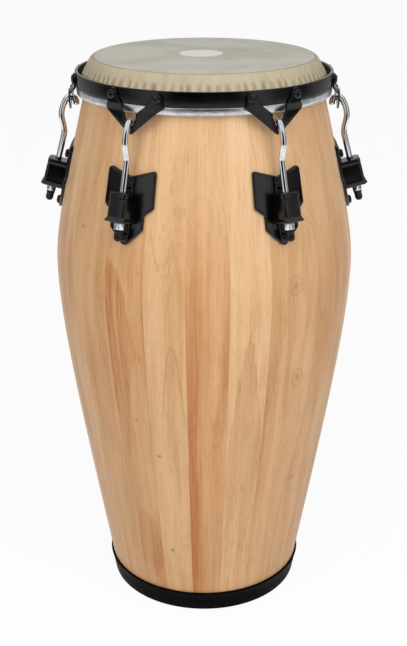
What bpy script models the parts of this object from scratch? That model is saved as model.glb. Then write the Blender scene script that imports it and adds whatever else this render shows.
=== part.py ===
"""Conga drum: a shell of glued staves, a tucked head, a two-piece rim and six tension lugs.

Lengths are in metres and +Z is up. The origin is on the floor, under the middle of the drum.
A lug is drawn in its own plane: u runs outward from the drum's axis, v sideways and w up.
"""

import math

import bmesh
import bpy
import numpy as np
from mathutils import Matrix, Vector

# Whole drum
HEIGHT = 0.762
SEAT_GAP = 0.0003
ROUND_SIDES = 36
ROUND_HOLE_SIDES = 10

# Shell: two smooth curves that meet at the belly
SHELL_WALL = 0.0115
FOOT_RADIUS = 0.1325
FOOT_TAPER = 0.171
FOOT_REACH = 0.260
BELLY_RADIUS = 0.2008
BELLY_HEIGHT = 0.487
BELLY_REACH_DOWN = 0.0836
BELLY_REACH_UP = 0.050
MOUTH_RADIUS = 0.1454
MOUTH_TAPER = 0.241
MOUTH_REACH = 0.160
MOUTH_ROUND = 0.009
MOUTH_CHAMFER = 0.004
ROWS_BELOW_BELLY = 5
ROWS_ABOVE_BELLY = 7

# Base ring, a U that wraps the foot of the shell
BASE_RING_HEIGHT = 0.030
BASE_RING_WALL = 0.0022
BASE_RING_FLOOR = 0.003
BASE_RING_FLANGE = 0.012
BASE_RING_BEAD = 0.0006
BASE_RING_BEAD_HEIGHT = 0.003

# Head
SKIN = 0.002
SKIN_TO_BAND = 0.001
TUCK_SLACK = 0.001

# Counter hoop, the black band
BAND_DROP = 0.0182
BAND_HEIGHT = 0.0181
BAND_THICKNESS = 0.004
BAND_STANDOFF = 0.0176
BAND_EDGE = 0.0008

# Flesh hoop, the channel that holds the skin's edge
FLESH_HOOP_HEIGHT = 0.0102
FLESH_HOOP_WALL = 0.0014
FLESH_HOOP_FLOOR = 0.0018
FLESH_HOOP_UNDER_BAND = 0.003
FLESH_HOOP_ROUND = 0.002

# Lugs
LUG_COUNT = 6
FIRST_BEARING = 30.0
ROD_TILT = 15.5
RIM_TRAVEL = 0.006

# V-yoke, riveted to the band
YOKE_THICKNESS = 0.0024
YOKE_SET_OUT = 0.0067
YOKE_BEND = 0.0078
YOKE_SPREAD = 0.031
YOKE_BOSS = 0.008
YOKE_SHOULDER_DROP = 0.0037
YOKE_ARM_ANGLE = 46.0
YOKE_HOLE = 0.0078
YOKE_HOLE_DROP = 0.0125
YOKE_NECK = 0.015
YOKE_SLOT = 0.0048
YOKE_SLOT_REACH = 0.0115
YOKE_WEB = 0.0107
YOKE_TIP_ROUND = 0.004

# Rivet of a yoke, with a countersunk tail
RIVET_SHANK = 0.003
RIVET_HEAD = 0.006
RIVET_HEAD_HEIGHT = 0.003
RIVET_TAIL = 0.0042
RIVET_TAIL_DEPTH = 0.0015
RIVET_SIDES = 8
HOLE_CLEARANCE = 0.0004

# Hooked tension rod
ROD_RADIUS = 0.004
ROD_SIDES = 8
HOOK_ROUND = 0.007
HOOK_LIP = 0.0105
HOOK_LEAVE_ANGLE = 35.0
HOOK_BOW = 0.0132
HOOK_BOW_DROP = 0.0245
HOOK_DROP = 0.050

# Lug bracket: plate
BRACKET_DROP = 0.1565
PLATE_THICKNESS = 0.004
PLATE_BORDER = 0.0025
PLATE_RECESS = 0.001
WING_HALF_WIDTH = 0.0346
WING_TOP = 0.0445
WING_NOTCH = 0.0345
WING_FOOT = 0.001
TAIL_HALF_WIDTH = 0.0228
TAIL_SHOULDER = 0.010
TAIL_TAPER = 0.0275
TAIL_TIP = 0.0495
TAIL_TIP_ROUND = 0.007
CORNER_ROUND = 0.004
SPINE_WIDTH = 0.010

# Lug bracket: housing round the rod
HOUSING_STANDOFF = 0.0172
HOUSING_WIDTH = 0.025
HOUSING_FRONT = 0.0125
HOUSING_TOP = 0.0195
HOUSING_BOTTOM = 0.0165
HOUSING_ROUND = 0.0045
HOUSING_COLLAR = 0.006
HOUSING_GROOVE = 0.0008
HOUSING_GROOVE_WIDTH = 0.002
HOUSING_LIP = 0.0025
HOUSING_LIP_HEIGHT = 0.006
HOUSING_LIP_EDGE = 0.0018
BORE_CLEARANCE = 0.001

# Bolts that hold a bracket
BOLT_UPPER = 0.0245
BOLT_LOWER = 0.0385
BOLT_SHANK = 0.0025
BOLT_HEAD = 0.006
BOLT_HEAD_HEIGHT = 0.0045
BOLT_WASHER = 0.0075
BOLT_WASHER_GAP = 0.0005
BOLT_WASHER_THICKNESS = 0.0012
BOLT_NUT = 0.0046
BOLT_NUT_HEIGHT = 0.005
BOLT_SIDES = 8

# Tension nut and rod cap
NUT_FLATS = 0.012
NUT_HEIGHT = 0.0085
NUT_CHAMFER = 0.0008
CAP_GAP = 0.0007
CAP_RADIUS = 0.0055
CAP_LENGTH = 0.014
CAP_FLOOR = 0.003
CAP_SIDES = 10

FINISHES = {
    "lacquered_ash": ((226, 184, 142), 0.35, 0.0),
    "hide": ((186, 184, 172), 0.6, 0.0),
    "black_steel": ((26, 26, 27), 0.45, 0.2),
    "black_casting": ((22, 22, 23), 0.5, 0.1),
    "black_rubber": ((24, 24, 24), 0.7, 0.0),
    "aluminium": ((196, 197, 198), 0.3, 1.0),
    "chrome": ((214, 215, 217), 0.12, 1.0),
}


# Places worked out from the sizes
MOUTH_HEIGHT = HEIGHT - SKIN - SEAT_GAP
SHELL_FOOT = BASE_RING_FLOOR + SEAT_GAP
BAND_TOP = HEIGHT - BAND_DROP
BAND_BOTTOM = BAND_TOP - BAND_HEIGHT
BAND_MIDDLE = BAND_BOTTOM + BAND_HEIGHT / 2
BAND_INNER = MOUTH_RADIUS + BAND_STANDOFF
BAND_OUTER = BAND_INNER + BAND_THICKNESS
SKIN_OUTER = BAND_INNER - SKIN_TO_BAND
FLESH_TOP = BAND_BOTTOM - SEAT_GAP
FLESH_BOTTOM = FLESH_TOP - FLESH_HOOP_HEIGHT
FLESH_OUTER = BAND_INNER + FLESH_HOOP_UNDER_BAND
FLESH_INNER = SKIN_OUTER - SKIN - SEAT_GAP - FLESH_HOOP_WALL
BRACKET_HEIGHT = HEIGHT - BRACKET_DROP
TILT = math.radians(ROD_TILT)


def cubic(start, leave, arrive, end, count):
    """Points along a cubic curve, from its two ends and their two handles."""
    t = np.linspace(0, 1, count)[:, None]
    handles = (np.array(p, float) for p in (start, leave, arrive, end))
    weights = (1 - t) ** 3, 3 * t * (1 - t) ** 2, 3 * t**2 * (1 - t), t**3
    return sum(w * p for w, p in zip(weights, handles))


def shell_curve(count_below, count_above):
    """Radius and height of the shell's outside, foot to mouth, before its edge is rounded."""
    foot = (FOOT_RADIUS, 0)
    foot_handle = (FOOT_RADIUS + FOOT_TAPER * FOOT_REACH, FOOT_REACH)
    belly = (BELLY_RADIUS, BELLY_HEIGHT)
    mouth = (MOUTH_RADIUS, MOUTH_HEIGHT)
    mouth_handle = (MOUTH_RADIUS + MOUTH_TAPER * MOUTH_REACH, MOUTH_HEIGHT - MOUTH_REACH)
    below = (BELLY_RADIUS, BELLY_HEIGHT - BELLY_REACH_DOWN)
    above = (BELLY_RADIUS, BELLY_HEIGHT + BELLY_REACH_UP)
    lower = cubic(foot, foot_handle, below, belly, count_below)
    upper = cubic(belly, above, mouth_handle, mouth, count_above)
    return np.vstack([lower, upper[1:]])


SHELL_CURVE = shell_curve(120, 120)


def shell_radius(height):
    """Outer radius of the shell at a height."""
    return float(np.interp(height, SHELL_CURVE[:, 1], SHELL_CURVE[:, 0]))


def shell_lean(height):
    """Angle of the shell's outside from upright at a height, positive where it narrows upward."""
    step = 0.002
    return math.atan2(shell_radius(height - step) - shell_radius(height + step), 2 * step)


def inner_radius(height):
    """Inner radius of the shell at a height."""
    return shell_radius(height) - SHELL_WALL / math.cos(shell_lean(height))


def arc(centre, radius, start, end, steps):
    """Points of an arc in degrees, both ends included."""
    turns = (math.radians(start + (end - start) * i / steps) for i in range(steps + 1))
    return [(centre[0] + radius * math.cos(a), centre[1] + radius * math.sin(a)) for a in turns]


def tangent_point(point, centre, radius, side):
    """Where a line from a point touches a circle; side is +1 or -1."""
    to_centre = Vector(centre) - Vector(point)
    reach = math.sqrt(to_centre.length_squared - radius**2)
    turn = side * math.asin(radius / to_centre.length)
    return tuple(Vector(point) + (to_centre.normalized() * reach) @ Matrix.Rotation(-turn, 2))


def rounded(corners, steps=2):
    """An outline with each (v, w, radius) corner rounded by an arc."""
    outline = []
    for i, (v, w, radius) in enumerate(corners):
        here = Vector((v, w))
        back = (Vector(corners[i - 1][:2]) - here).normalized()
        ahead = (Vector(corners[(i + 1) % len(corners)][:2]) - here).normalized()
        half = back.angle(ahead) / 2
        if radius == 0 or math.pi / 2 - half < 0.01:
            outline.append((v, w))
            continue
        centre = here + (back + ahead).normalized() * radius / math.sin(half)
        start = here + back * radius / math.tan(half) - centre
        sweep = start.angle_signed(here + ahead * radius / math.tan(half) - centre)
        for k in range(steps + 1):
            outline.append(tuple(centre + start @ Matrix.Rotation(sweep * k / steps, 2)))
    return outline


def mesh_from(bm, name):
    """A mesh made from a bmesh, with outward faces and smooth shading across soft edges."""
    bmesh.ops.remove_doubles(bm, verts=bm.verts, dist=1e-6)
    bmesh.ops.recalc_face_normals(bm, faces=bm.faces)
    mesh = bpy.data.meshes.new(name)
    bm.to_mesh(mesh)
    bm.free()
    mesh.shade_smooth()
    mesh.set_sharp_from_angle(angle=math.radians(35))
    return mesh


def turned(name, profile, sides):
    """A closed (radius, height) profile turned round the Z axis; radius 0 ends on the axis."""
    bm = bmesh.new()
    verts = [bm.verts.new((r, 0, h)) for r, h in profile]
    edges = [bm.edges.new(pair) for pair in zip(verts, verts[1:])]
    if profile[0][0] > 0 or profile[-1][0] > 0:
        edges.append(bm.edges.new((verts[-1], verts[0])))
    bmesh.ops.spin(
        bm, geom=verts + edges, cent=(0, 0, 0), axis=(0, 0, 1), angle=math.tau, steps=sides
    )
    return mesh_from(bm, name)


def lofted(name, rings):
    """A solid through a list of rings of points, closed at both ends."""
    bm = bmesh.new()
    loops = [[bm.verts.new(p) for p in ring] for ring in rings]
    for low, high in zip(loops, loops[1:]):
        for i in range(len(low)):
            j = (i + 1) % len(low)
            bm.faces.new((low[i], low[j], high[j], high[i]))
    bm.faces.new(loops[0][::-1])
    bm.faces.new(loops[-1])
    return mesh_from(bm, name)


def swept(name, path, radius, sides):
    """A round bar along a path in the XZ plane."""
    points = [Vector((x, 0, z)) for x, z in path]
    rings = []
    for i, here in enumerate(points):
        back = points[max(i - 1, 0)]
        ahead = points[min(i + 1, len(points) - 1)]
        along = (here - back).normalized() + (ahead - here).normalized()
        normal = Vector((0, 1, 0)).cross(along).normalized()
        turns = (math.tau * k / sides for k in range(sides))
        rings.append(
            [here + radius * (math.cos(a) * normal + math.sin(a) * Vector((0, 1, 0))) for a in turns]
        )
    return lofted(name, rings)


def sheet(outline, thickness, cuts_v, cuts_w):
    """A flat plate in the VW plane, its depth along +X, and the planes that cut it for bending."""
    bm = bmesh.new()
    face = bm.faces.new([bm.verts.new((0, v, w)) for v, w in outline])
    lift = bmesh.ops.extrude_face_region(bm, geom=[face])["geom"]
    top = [e for e in lift if isinstance(e, bmesh.types.BMFace)]
    bmesh.ops.translate(bm, verts=top[0].verts, vec=(thickness, 0, 0))
    bmesh.ops.recalc_face_normals(bm, faces=bm.faces)
    return bm, [((0, v, 0), (0, 1, 0)) for v in cuts_v] + [((0, 0, w), (0, 0, 1)) for w in cuts_w]


def bend(bm, planes, surface):
    """Cuts a flat plate along its planes and wraps it on a surface of revolution."""
    for point, normal in planes:
        geom = bm.verts[:] + bm.edges[:] + bm.faces[:]
        bmesh.ops.bisect_plane(bm, geom=geom, dist=1e-6, plane_co=point, plane_no=normal)
    bmesh.ops.triangulate(bm, faces=bm.faces)
    for vert in bm.verts:
        depth, v, w = vert.co
        radius = surface(w) + depth
        turn = v / surface(w)
        vert.co = (radius * math.cos(turn), radius * math.sin(turn), w)


def spread(half_width, strip):
    """Places of the cuts across a plate, even and at most a strip apart."""
    count = max(1, math.ceil(half_width / strip))
    return [half_width * i / count for i in range(1 - count, count)]


def finish(name):
    """The material of a finish."""
    found = bpy.data.materials.get(name)
    if found:
        return found
    colour, roughness, metallic = FINISHES[name]
    made = bpy.data.materials.new(name)
    made.use_nodes = True
    shader = made.node_tree.nodes["Principled BSDF"]
    linear = [(c / 255 / 12.92) if c < 11 else ((c / 255 + 0.055) / 1.055) ** 2.4 for c in colour]
    shader.inputs["Base Color"].default_value = (*linear, 1)
    shader.inputs["Roughness"].default_value = roughness
    shader.inputs["Metallic"].default_value = metallic
    made.diffuse_color = (*linear, 1)
    return made


def place(name, mesh, finish_name, parent=None, location=(0, 0, 0), rotation=(0, 0, 0)):
    """An object of a mesh, in its finish and at its place."""
    if not mesh.materials:
        mesh.materials.append(finish(finish_name))
    obj = bpy.data.objects.new(name, mesh)
    bpy.context.scene.collection.objects.link(obj)
    obj.parent = parent
    obj.location = location
    obj.rotation_euler = rotation
    return obj


def guide(name, parent=None, location=(0, 0, 0), rotation=(0, 0, 0)):
    """An empty that carries other objects."""
    empty = bpy.data.objects.new(name, None)
    bpy.context.scene.collection.objects.link(empty)
    empty.parent = parent
    empty.location = location
    empty.rotation_euler = rotation
    return empty


def tool(name, mesh, matrix=None):
    """An object that only cuts or joins, left out of the model."""
    obj = bpy.data.objects.new(name, mesh)
    bpy.context.scene.collection.objects.link(obj)
    obj.matrix_world = matrix or Matrix()
    obj.hide_render = True
    obj.display_type = "WIRE"
    return obj


def combine(target, other, operation):
    """Adds a Boolean of another object to an object."""
    modifier = target.modifiers.new(f"{operation.lower()} {other.name}", "BOOLEAN")
    modifier.operation = operation
    modifier.solver = "EXACT"
    modifier.object = other
    return modifier


def settled(obj, name):
    """The mesh of an object with its modifiers done, for pieces that repeat."""
    bpy.context.view_layer.update()
    done = obj.evaluated_get(bpy.context.evaluated_depsgraph_get())
    mesh = bpy.data.meshes.new_from_object(done)
    mesh.name = name
    used = [m.object for m in obj.modifiers]
    for item in [obj, *used]:
        bpy.data.objects.remove(item, do_unlink=True)
    return mesh


def bearings():
    """Turn of each lug round the drum, as seen from above, from +X."""
    return [math.radians(FIRST_BEARING - 90 + 360 * i / LUG_COUNT) for i in range(LUG_COUNT)]


def yoke_radius(height):
    """Inner radius of a yoke at a height: on the band, then set out below it."""
    drop = min(max((BAND_BOTTOM - height) / YOKE_BEND, 0), 1)
    return BAND_OUTER + SEAT_GAP + YOKE_SET_OUT * drop * drop * (3 - 2 * drop)


def plate_radius(height):
    """Inner radius of a bracket's plate at a height."""
    return shell_radius(height) + SEAT_GAP


def yoke_places():
    """Heights of a yoke's hole centre, web top and tip."""
    hole = BAND_BOTTOM - YOKE_HOLE_DROP
    web = hole - YOKE_SLOT_REACH
    return hole, web, web - YOKE_WEB


def axis_point(along):
    """Point (u, w) of a rod's axis, at a distance down it from the bracket's height."""
    middle = shell_radius(BRACKET_HEIGHT) + HOUSING_STANDOFF
    return middle + along * math.sin(TILT), BRACKET_HEIGHT - along * math.cos(TILT)


def on_axis(point):
    """A (u, w) point of a lug's plane in the frame of its rod: x off the axis, z up along it."""
    across = point[0] - axis_point(0)[0]
    up = point[1] - axis_point(0)[1]
    return (
        across * math.cos(TILT) + up * math.sin(TILT),
        up * math.cos(TILT) - across * math.sin(TILT),
    )


def bolt_matrix(height, depth):
    """Frame of a bracket's bolt: +Z outward, square to the shell, its origin off the shell."""
    lean = shell_lean(height)
    outward = Vector((math.cos(lean), 0, math.sin(lean)))
    origin = Vector((shell_radius(height), 0, height)) + outward * depth
    return Matrix.Translation(origin) @ Matrix.Rotation(math.pi / 2 - lean, 4, "Y")


def bolt_heights():
    """Heights of a bracket's two bolts."""
    return BRACKET_HEIGHT + BOLT_UPPER, BRACKET_HEIGHT - BOLT_LOWER


def make_shell():
    """The stave shell: outside, rounded bearing edge, inside, and the bolts' holes."""
    shoulder = MOUTH_HEIGHT - MOUTH_ROUND
    curve = shell_curve(ROWS_BELOW_BELLY + 1, ROWS_ABOVE_BELLY + 1)
    rows = [SHELL_FOOT] + [h for _, h in curve if SHELL_FOOT < h < shoulder - MOUTH_ROUND]
    outside = [(shell_radius(h), h) for h in rows]
    edge = arc((shell_radius(shoulder) - MOUTH_ROUND, shoulder), MOUTH_ROUND, 0, 90, 3)
    top_inner = inner_radius(MOUTH_HEIGHT)
    chamfer = [(top_inner + MOUTH_CHAMFER / 2, MOUTH_HEIGHT), (top_inner, MOUTH_HEIGHT - MOUTH_CHAMFER)]
    inside = [(inner_radius(h), h) for h in reversed(rows)]
    shell = place("shell", turned("shell", outside + edge + chamfer + inside, ROUND_SIDES), "lacquered_ash")
    combine(shell, bolt_holes("shell_holes"), "DIFFERENCE")
    return shell


def bolt_holes(name):
    """All the bolts' holes in the shell, as one cutter."""
    bm = bmesh.new()
    for turn in bearings():
        for height in bolt_heights():
            matrix = Matrix.Rotation(turn, 4, "Z") @ bolt_matrix(height, -SHELL_WALL / 2)
            bmesh.ops.create_cone(
                bm, cap_ends=True, segments=BOLT_SIDES, depth=3 * SHELL_WALL,
                radius1=BOLT_SHANK + HOLE_CLEARANCE, radius2=BOLT_SHANK + HOLE_CLEARANCE, matrix=matrix,
            )
    return tool(name, mesh_from(bm, name))


def make_base_ring():
    """The ring round the drum's foot, with a small bead along its top edge."""
    rows = (0, BASE_RING_HEIGHT - BASE_RING_BEAD_HEIGHT)
    wall = SEAT_GAP + BASE_RING_WALL
    outer = [(shell_radius(h) + wall, h) for h in rows]
    top = shell_radius(BASE_RING_HEIGHT)
    bead = [(outer[-1][0] + BASE_RING_BEAD, rows[-1]), (top + wall + BASE_RING_BEAD, BASE_RING_HEIGHT)]
    seat = [(top + SEAT_GAP, BASE_RING_HEIGHT), (shell_radius(BASE_RING_FLOOR) + SEAT_GAP, BASE_RING_FLOOR)]
    inner = inner_radius(BASE_RING_FLOOR) - SEAT_GAP
    flange_top = inner_radius(BASE_RING_FLANGE) - SEAT_GAP
    flange = [
        (inner, BASE_RING_FLOOR),
        (flange_top, BASE_RING_FLANGE),
        (flange_top - BASE_RING_WALL, BASE_RING_FLANGE),
        (inner - BASE_RING_WALL, 0),
    ]
    mesh = turned("base_ring", outer + bead + seat + flange, ROUND_SIDES)
    return place("base_ring", mesh, "black_rubber")


def make_head():
    """The skin: flat on top, over the bearing edge, and down its collar into the flesh hoop."""
    centre = (shell_radius(MOUTH_HEIGHT - MOUTH_ROUND) - MOUTH_ROUND, MOUTH_HEIGHT - MOUTH_ROUND)
    inner = MOUTH_ROUND + SEAT_GAP
    outer = inner + SKIN
    tuck_bottom = FLESH_BOTTOM + FLESH_HOOP_FLOOR + TUCK_SLACK
    shoulder = BAND_BOTTOM + BAND_HEIGHT / 3
    leave = tangent_point((SKIN_OUTER, shoulder), centre, outer, -1)
    lean = math.degrees(math.atan2(leave[1] - centre[1], leave[0] - centre[0]))
    over = arc(centre, outer, 90, lean, 3)
    under = arc(centre, inner, lean, 90, 3)
    drop = SKIN * math.tan(math.radians(lean) / 2)
    outside = [*over, (SKIN_OUTER, shoulder), (SKIN_OUTER, tuck_bottom)]
    inside = [(SKIN_OUTER - SKIN, tuck_bottom), (SKIN_OUTER - SKIN, shoulder - drop), *under]
    profile = [(0, HEIGHT), *outside, *inside, (0, HEIGHT - SKIN)]
    return place("drum_head", turned("drum_head", profile, ROUND_SIDES), "hide")


def make_counter_hoop():
    """The band that presses on the flesh hoop, with the rivets' holes."""
    edge = BAND_EDGE
    profile = [
        (BAND_OUTER, BAND_BOTTOM + edge),
        (BAND_OUTER, BAND_TOP - edge),
        (BAND_OUTER - edge, BAND_TOP),
        (BAND_INNER + edge, BAND_TOP),
        (BAND_INNER, BAND_TOP - edge),
        (BAND_INNER, BAND_BOTTOM),
        (BAND_OUTER - edge, BAND_BOTTOM),
    ]
    hoop = place("counter_hoop", turned("counter_hoop", profile, ROUND_SIDES), "black_steel")
    bm = bmesh.new()
    cutter = turned("rivet_hole", rivet_profile(HOLE_CLEARANCE, cutting=True), RIVET_SIDES)
    for turn in bearings():
        for side in (1, -1):
            copy = cutter.copy()
            copy.transform(rivet_matrix(turn, side))
            bm.from_mesh(copy)
    holes = mesh_from(bm, "rivet_holes")
    combine(hoop, tool("rivet_holes", holes), "DIFFERENCE")
    return hoop


def make_flesh_hoop():
    """The open channel that grips the skin's edge, under the band."""
    rim = FLESH_HOOP_ROUND
    wall = FLESH_HOOP_WALL
    floor = FLESH_BOTTOM + FLESH_HOOP_FLOOR
    low_outer = arc((FLESH_OUTER - rim, FLESH_BOTTOM + rim), rim, -90, 0, 2)
    low_inner = (FLESH_INNER, FLESH_BOTTOM)
    profile = [
        low_inner,
        *low_outer,
        (FLESH_OUTER, FLESH_TOP),
        (FLESH_OUTER - wall, FLESH_TOP),
        (FLESH_OUTER - wall, floor),
        (FLESH_INNER + wall, floor),
        (FLESH_INNER + wall, FLESH_TOP),
        (FLESH_INNER, FLESH_TOP),
    ]
    return place("flesh_hoop", turned("flesh_hoop", profile, ROUND_SIDES), "aluminium")


def yoke_outline():
    """Outline (v, w) of a yoke: two bossed arms, a V between them and a keyhole for the hook."""
    hole, web, tip = yoke_places()
    neck_turn = math.degrees(math.acos(YOKE_NECK / 2 / YOKE_HOLE))
    neck = (YOKE_NECK / 2, hole + YOKE_HOLE * math.sin(math.radians(neck_turn)))
    boss = (YOKE_SPREAD, BAND_MIDDLE)
    climb = Vector((math.cos(math.radians(YOKE_ARM_ANGLE)), math.sin(math.radians(YOKE_ARM_ANGLE))))
    to_boss = Vector(boss) - Vector(neck)
    nearest = to_boss.dot(climb)
    off = to_boss.length_squared - nearest**2
    meet = Vector(neck) + climb * (nearest - math.sqrt(max(YOKE_BOSS**2 - off, 0)))
    meet_turn = math.degrees(math.atan2(meet[1] - boss[1], meet[0] - boss[0])) % 360
    shoulder = (YOKE_SPREAD + YOKE_BOSS, BAND_BOTTOM - YOKE_SHOULDER_DROP)
    tip_centre = (0, tip + YOKE_TIP_ROUND)
    foot = tangent_point(shoulder, tip_centre, YOKE_TIP_ROUND, 1)
    foot_turn = math.degrees(math.atan2(foot[1] - tip_centre[1], foot[0]))
    right = arc(boss, YOKE_BOSS, 0, meet_turn, 5)
    left = [(-v, w) for v, w in reversed(right)]
    slot_turn = math.degrees(math.acos(YOKE_SLOT / YOKE_HOLE))
    hole_right = arc((0, hole), YOKE_HOLE, neck_turn, -slot_turn, 4)
    slot_arc = arc((0, web + YOKE_SLOT), YOKE_SLOT, 0, -180, 6)
    hole_left = [(-v, w) for v, w in reversed(hole_right)]
    tip_arc = arc(tip_centre, YOKE_TIP_ROUND, 180 - foot_turn, 360 + foot_turn, 2)
    mirrored = (-shoulder[0], shoulder[1])
    return [shoulder, *right, *hole_right, *slot_arc, *hole_left, *left, mirrored, *tip_arc]


def make_yoke_mesh():
    """A V-yoke, wrapped on the band and stepped outward below it, with its rivets' holes."""
    half = YOKE_SPREAD + YOKE_BOSS
    bends = [BAND_BOTTOM - YOKE_BEND * i / 2 for i in range(3)]
    bm, planes = sheet(yoke_outline(), YOKE_THICKNESS, spread(half, 0.02), bends)
    bend(bm, planes, yoke_radius)
    yoke = tool("yoke_blank", mesh_from(bm, "yoke_blank"))
    bm = bmesh.new()
    cutter = turned("yoke_hole", rivet_profile(HOLE_CLEARANCE, cutting=True), RIVET_SIDES)
    for side in (1, -1):
        copy = cutter.copy()
        copy.transform(rivet_matrix(0, side))
        bm.from_mesh(copy)
    combine(yoke, tool("yoke_holes", mesh_from(bm, "yoke_holes")), "DIFFERENCE")
    return settled(yoke, "hook_yoke")


def dome(radius, height, seat):
    """Profile of a domed head above its rim, up to the axis."""
    return [(radius * 0.75, seat + height * 0.75), (0, seat + height)]


def rivet_profile(extra, cutting=False):
    """Profile of a rivet, +Z outward from the band's outer face; cutting gives its hole."""
    seat = SEAT_GAP + YOKE_THICKNESS + SEAT_GAP
    inside = -BAND_THICKNESS
    shank = RIVET_SHANK + extra
    tail = RIVET_TAIL + extra
    if cutting:
        end = inside - RIVET_TAIL_DEPTH
        return [
            (0, end), (tail, end), (tail, inside), (shank, inside + RIVET_TAIL_DEPTH),
            (shank, seat + RIVET_HEAD_HEIGHT), (0, seat + RIVET_HEAD_HEIGHT),
        ]
    return [
        (0, inside), (tail, inside), (shank, inside + RIVET_TAIL_DEPTH), (shank, seat),
        (RIVET_HEAD, seat), *dome(RIVET_HEAD, RIVET_HEAD_HEIGHT, seat),
    ]


def rivet_matrix(turn, side):
    """Frame of a rivet: +Z outward from the band's outer face."""
    around = turn + side * YOKE_SPREAD / (BAND_OUTER + SEAT_GAP)
    return (
        Matrix.Rotation(around, 4, "Z")
        @ Matrix.Translation((BAND_OUTER, 0, BAND_MIDDLE))
        @ Matrix.Rotation(math.pi / 2, 4, "Y")
    )


def hook_path():
    """Path of a rod in its own frame: hook tip, over the yoke's web, bow, then straight down."""
    _, web, _ = yoke_places()
    shift = RIM_TRAVEL * math.tan(TILT)
    inner = HOOK_ROUND - ROD_RADIUS
    half_web = (YOKE_THICKNESS + shift) / 2
    rise = inner - math.sqrt(inner**2 - half_web**2)
    crown = (
        yoke_radius(web) + (YOKE_THICKNESS - shift) / 2,
        web + SEAT_GAP + rise + ROD_RADIUS,
    )
    tip = (crown[0] - HOOK_ROUND, crown[1] - HOOK_LIP)
    over = arc((crown[0], crown[1] - HOOK_ROUND), HOOK_ROUND, 180, HOOK_LEAVE_ANGLE, 5)
    leave = over[-1]
    bow = (crown[0] + HOOK_BOW, crown[1] - HOOK_BOW_DROP)
    handle = (leave[1] - bow[1]) / 3
    lean = math.radians(HOOK_LEAVE_ANGLE)
    after = (leave[0] + handle * math.sin(lean), leave[1] - handle * math.cos(lean))
    down = cubic(leave, after, (bow[0], bow[1] + handle), bow, 4)
    joint_along = (BRACKET_HEIGHT - crown[1] + HOOK_DROP) / math.cos(TILT)
    joint = axis_point(joint_along)
    handle = (bow[1] - joint[1]) / 3
    ahead = (joint[0] - handle * math.sin(TILT), joint[1] + handle * math.cos(TILT))
    settle = cubic(bow, (bow[0], bow[1] - handle), ahead, joint, 5)
    end = axis_point(rod_end())
    return [on_axis(p) for p in [tip, *over, *down[1:], *settle[1:], end]]


def nut_top():
    """Distance down a rod's axis to the top of its nut."""
    return HOUSING_BOTTOM + SEAT_GAP


def cap_top():
    """Distance down a rod's axis to the top of its cap."""
    return nut_top() + NUT_HEIGHT + CAP_GAP


def rod_end():
    """Distance down a rod's axis to the rod's own end, inside the cap."""
    return cap_top() + CAP_LENGTH - CAP_FLOOR - SEAT_GAP


def make_nut_mesh():
    """A hexagon nut with chamfered corners, its top at the frame's origin."""
    corner = NUT_FLATS / math.sqrt(3)
    heights = (0, -NUT_CHAMFER, NUT_CHAMFER - NUT_HEIGHT, -NUT_HEIGHT)
    radii = (corner - NUT_CHAMFER, corner, corner, corner - NUT_CHAMFER)
    rings = [
        [(r * math.cos(a), r * math.sin(a), h) for a in (math.tau * k / 6 for k in range(6))]
        for r, h in zip(radii, heights)
    ]
    nut = tool("nut_blank", lofted("nut_blank", rings))
    bore = bmesh.new()
    radius = (ROD_RADIUS + HOLE_CLEARANCE) / math.cos(math.pi / ROUND_HOLE_SIDES)
    bmesh.ops.create_cone(
        bore, cap_ends=True, segments=ROUND_HOLE_SIDES, radius1=radius, radius2=radius, depth=3 * NUT_HEIGHT
    )
    combine(nut, tool("nut_bore", mesh_from(bore, "nut_bore")), "DIFFERENCE")
    return settled(nut, "tension_nut")


def make_cap_mesh():
    """A domed cap over the rod's end, its open top at the frame's origin."""
    socket = (ROD_RADIUS + SEAT_GAP) / math.cos(math.pi / CAP_SIDES)
    end = arc((0, CAP_RADIUS - CAP_LENGTH), CAP_RADIUS, 0, -90, 3)
    profile = [
        (0, CAP_FLOOR - CAP_LENGTH), (socket, CAP_FLOOR - CAP_LENGTH), (socket, 0), (CAP_RADIUS, 0),
        *end[:-1], (0, -CAP_LENGTH),
    ]
    return turned("rod_cap", profile, CAP_SIDES)


def plate_outline():
    """Outline (v, w) of a bracket's plate: two wings, a notch between them and a pointed tail."""
    base = BRACKET_HEIGHT
    right = [
        (WING_HALF_WIDTH - 0.0015, WING_TOP, CORNER_ROUND),
        (WING_HALF_WIDTH, -WING_FOOT, CORNER_ROUND),
        (TAIL_HALF_WIDTH, -TAIL_SHOULDER, 0),
        (TAIL_HALF_WIDTH, -TAIL_TAPER, CORNER_ROUND),
    ]
    left = [(-v, w, r) for v, w, r in reversed(right)]
    corners = [(0, WING_NOTCH, 0), *right, (0, -TAIL_TIP, TAIL_TIP_ROUND), *left]
    return [(v, w + base) for v, w in rounded(corners)]


def reach_to_plate(along, v, depth):
    """How far in from the rod's axis a depth of the plate lies, beside the axis and along it."""
    u, w = axis_point(along)
    inward = 0.0
    for _ in range(12):
        height = w - inward * math.sin(TILT)
        target = math.sqrt((plate_radius(height) + depth) ** 2 - v**2)
        inward = (u - target) / math.cos(TILT)
    return inward


def housing_ring(along, outset):
    """One section of the housing: square to the rod, flat sides, rounded front, back in the plate."""
    half = HOUSING_WIDTH / 2 + outset
    front = HOUSING_FRONT + outset
    corner = HOUSING_ROUND
    back = -reach_to_plate(along, half, PLATE_THICKNESS * 0.4)
    section = [(back, -half)]
    section += arc((front - corner, corner - half), corner, -90, 0, 2)
    section += arc((front - corner, half - corner), corner, 0, 90, 2)
    section += [(back, half)]
    u, w = axis_point(along)
    return [(u + x * math.cos(TILT), y, w + x * math.sin(TILT)) for x, y in section]


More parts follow.
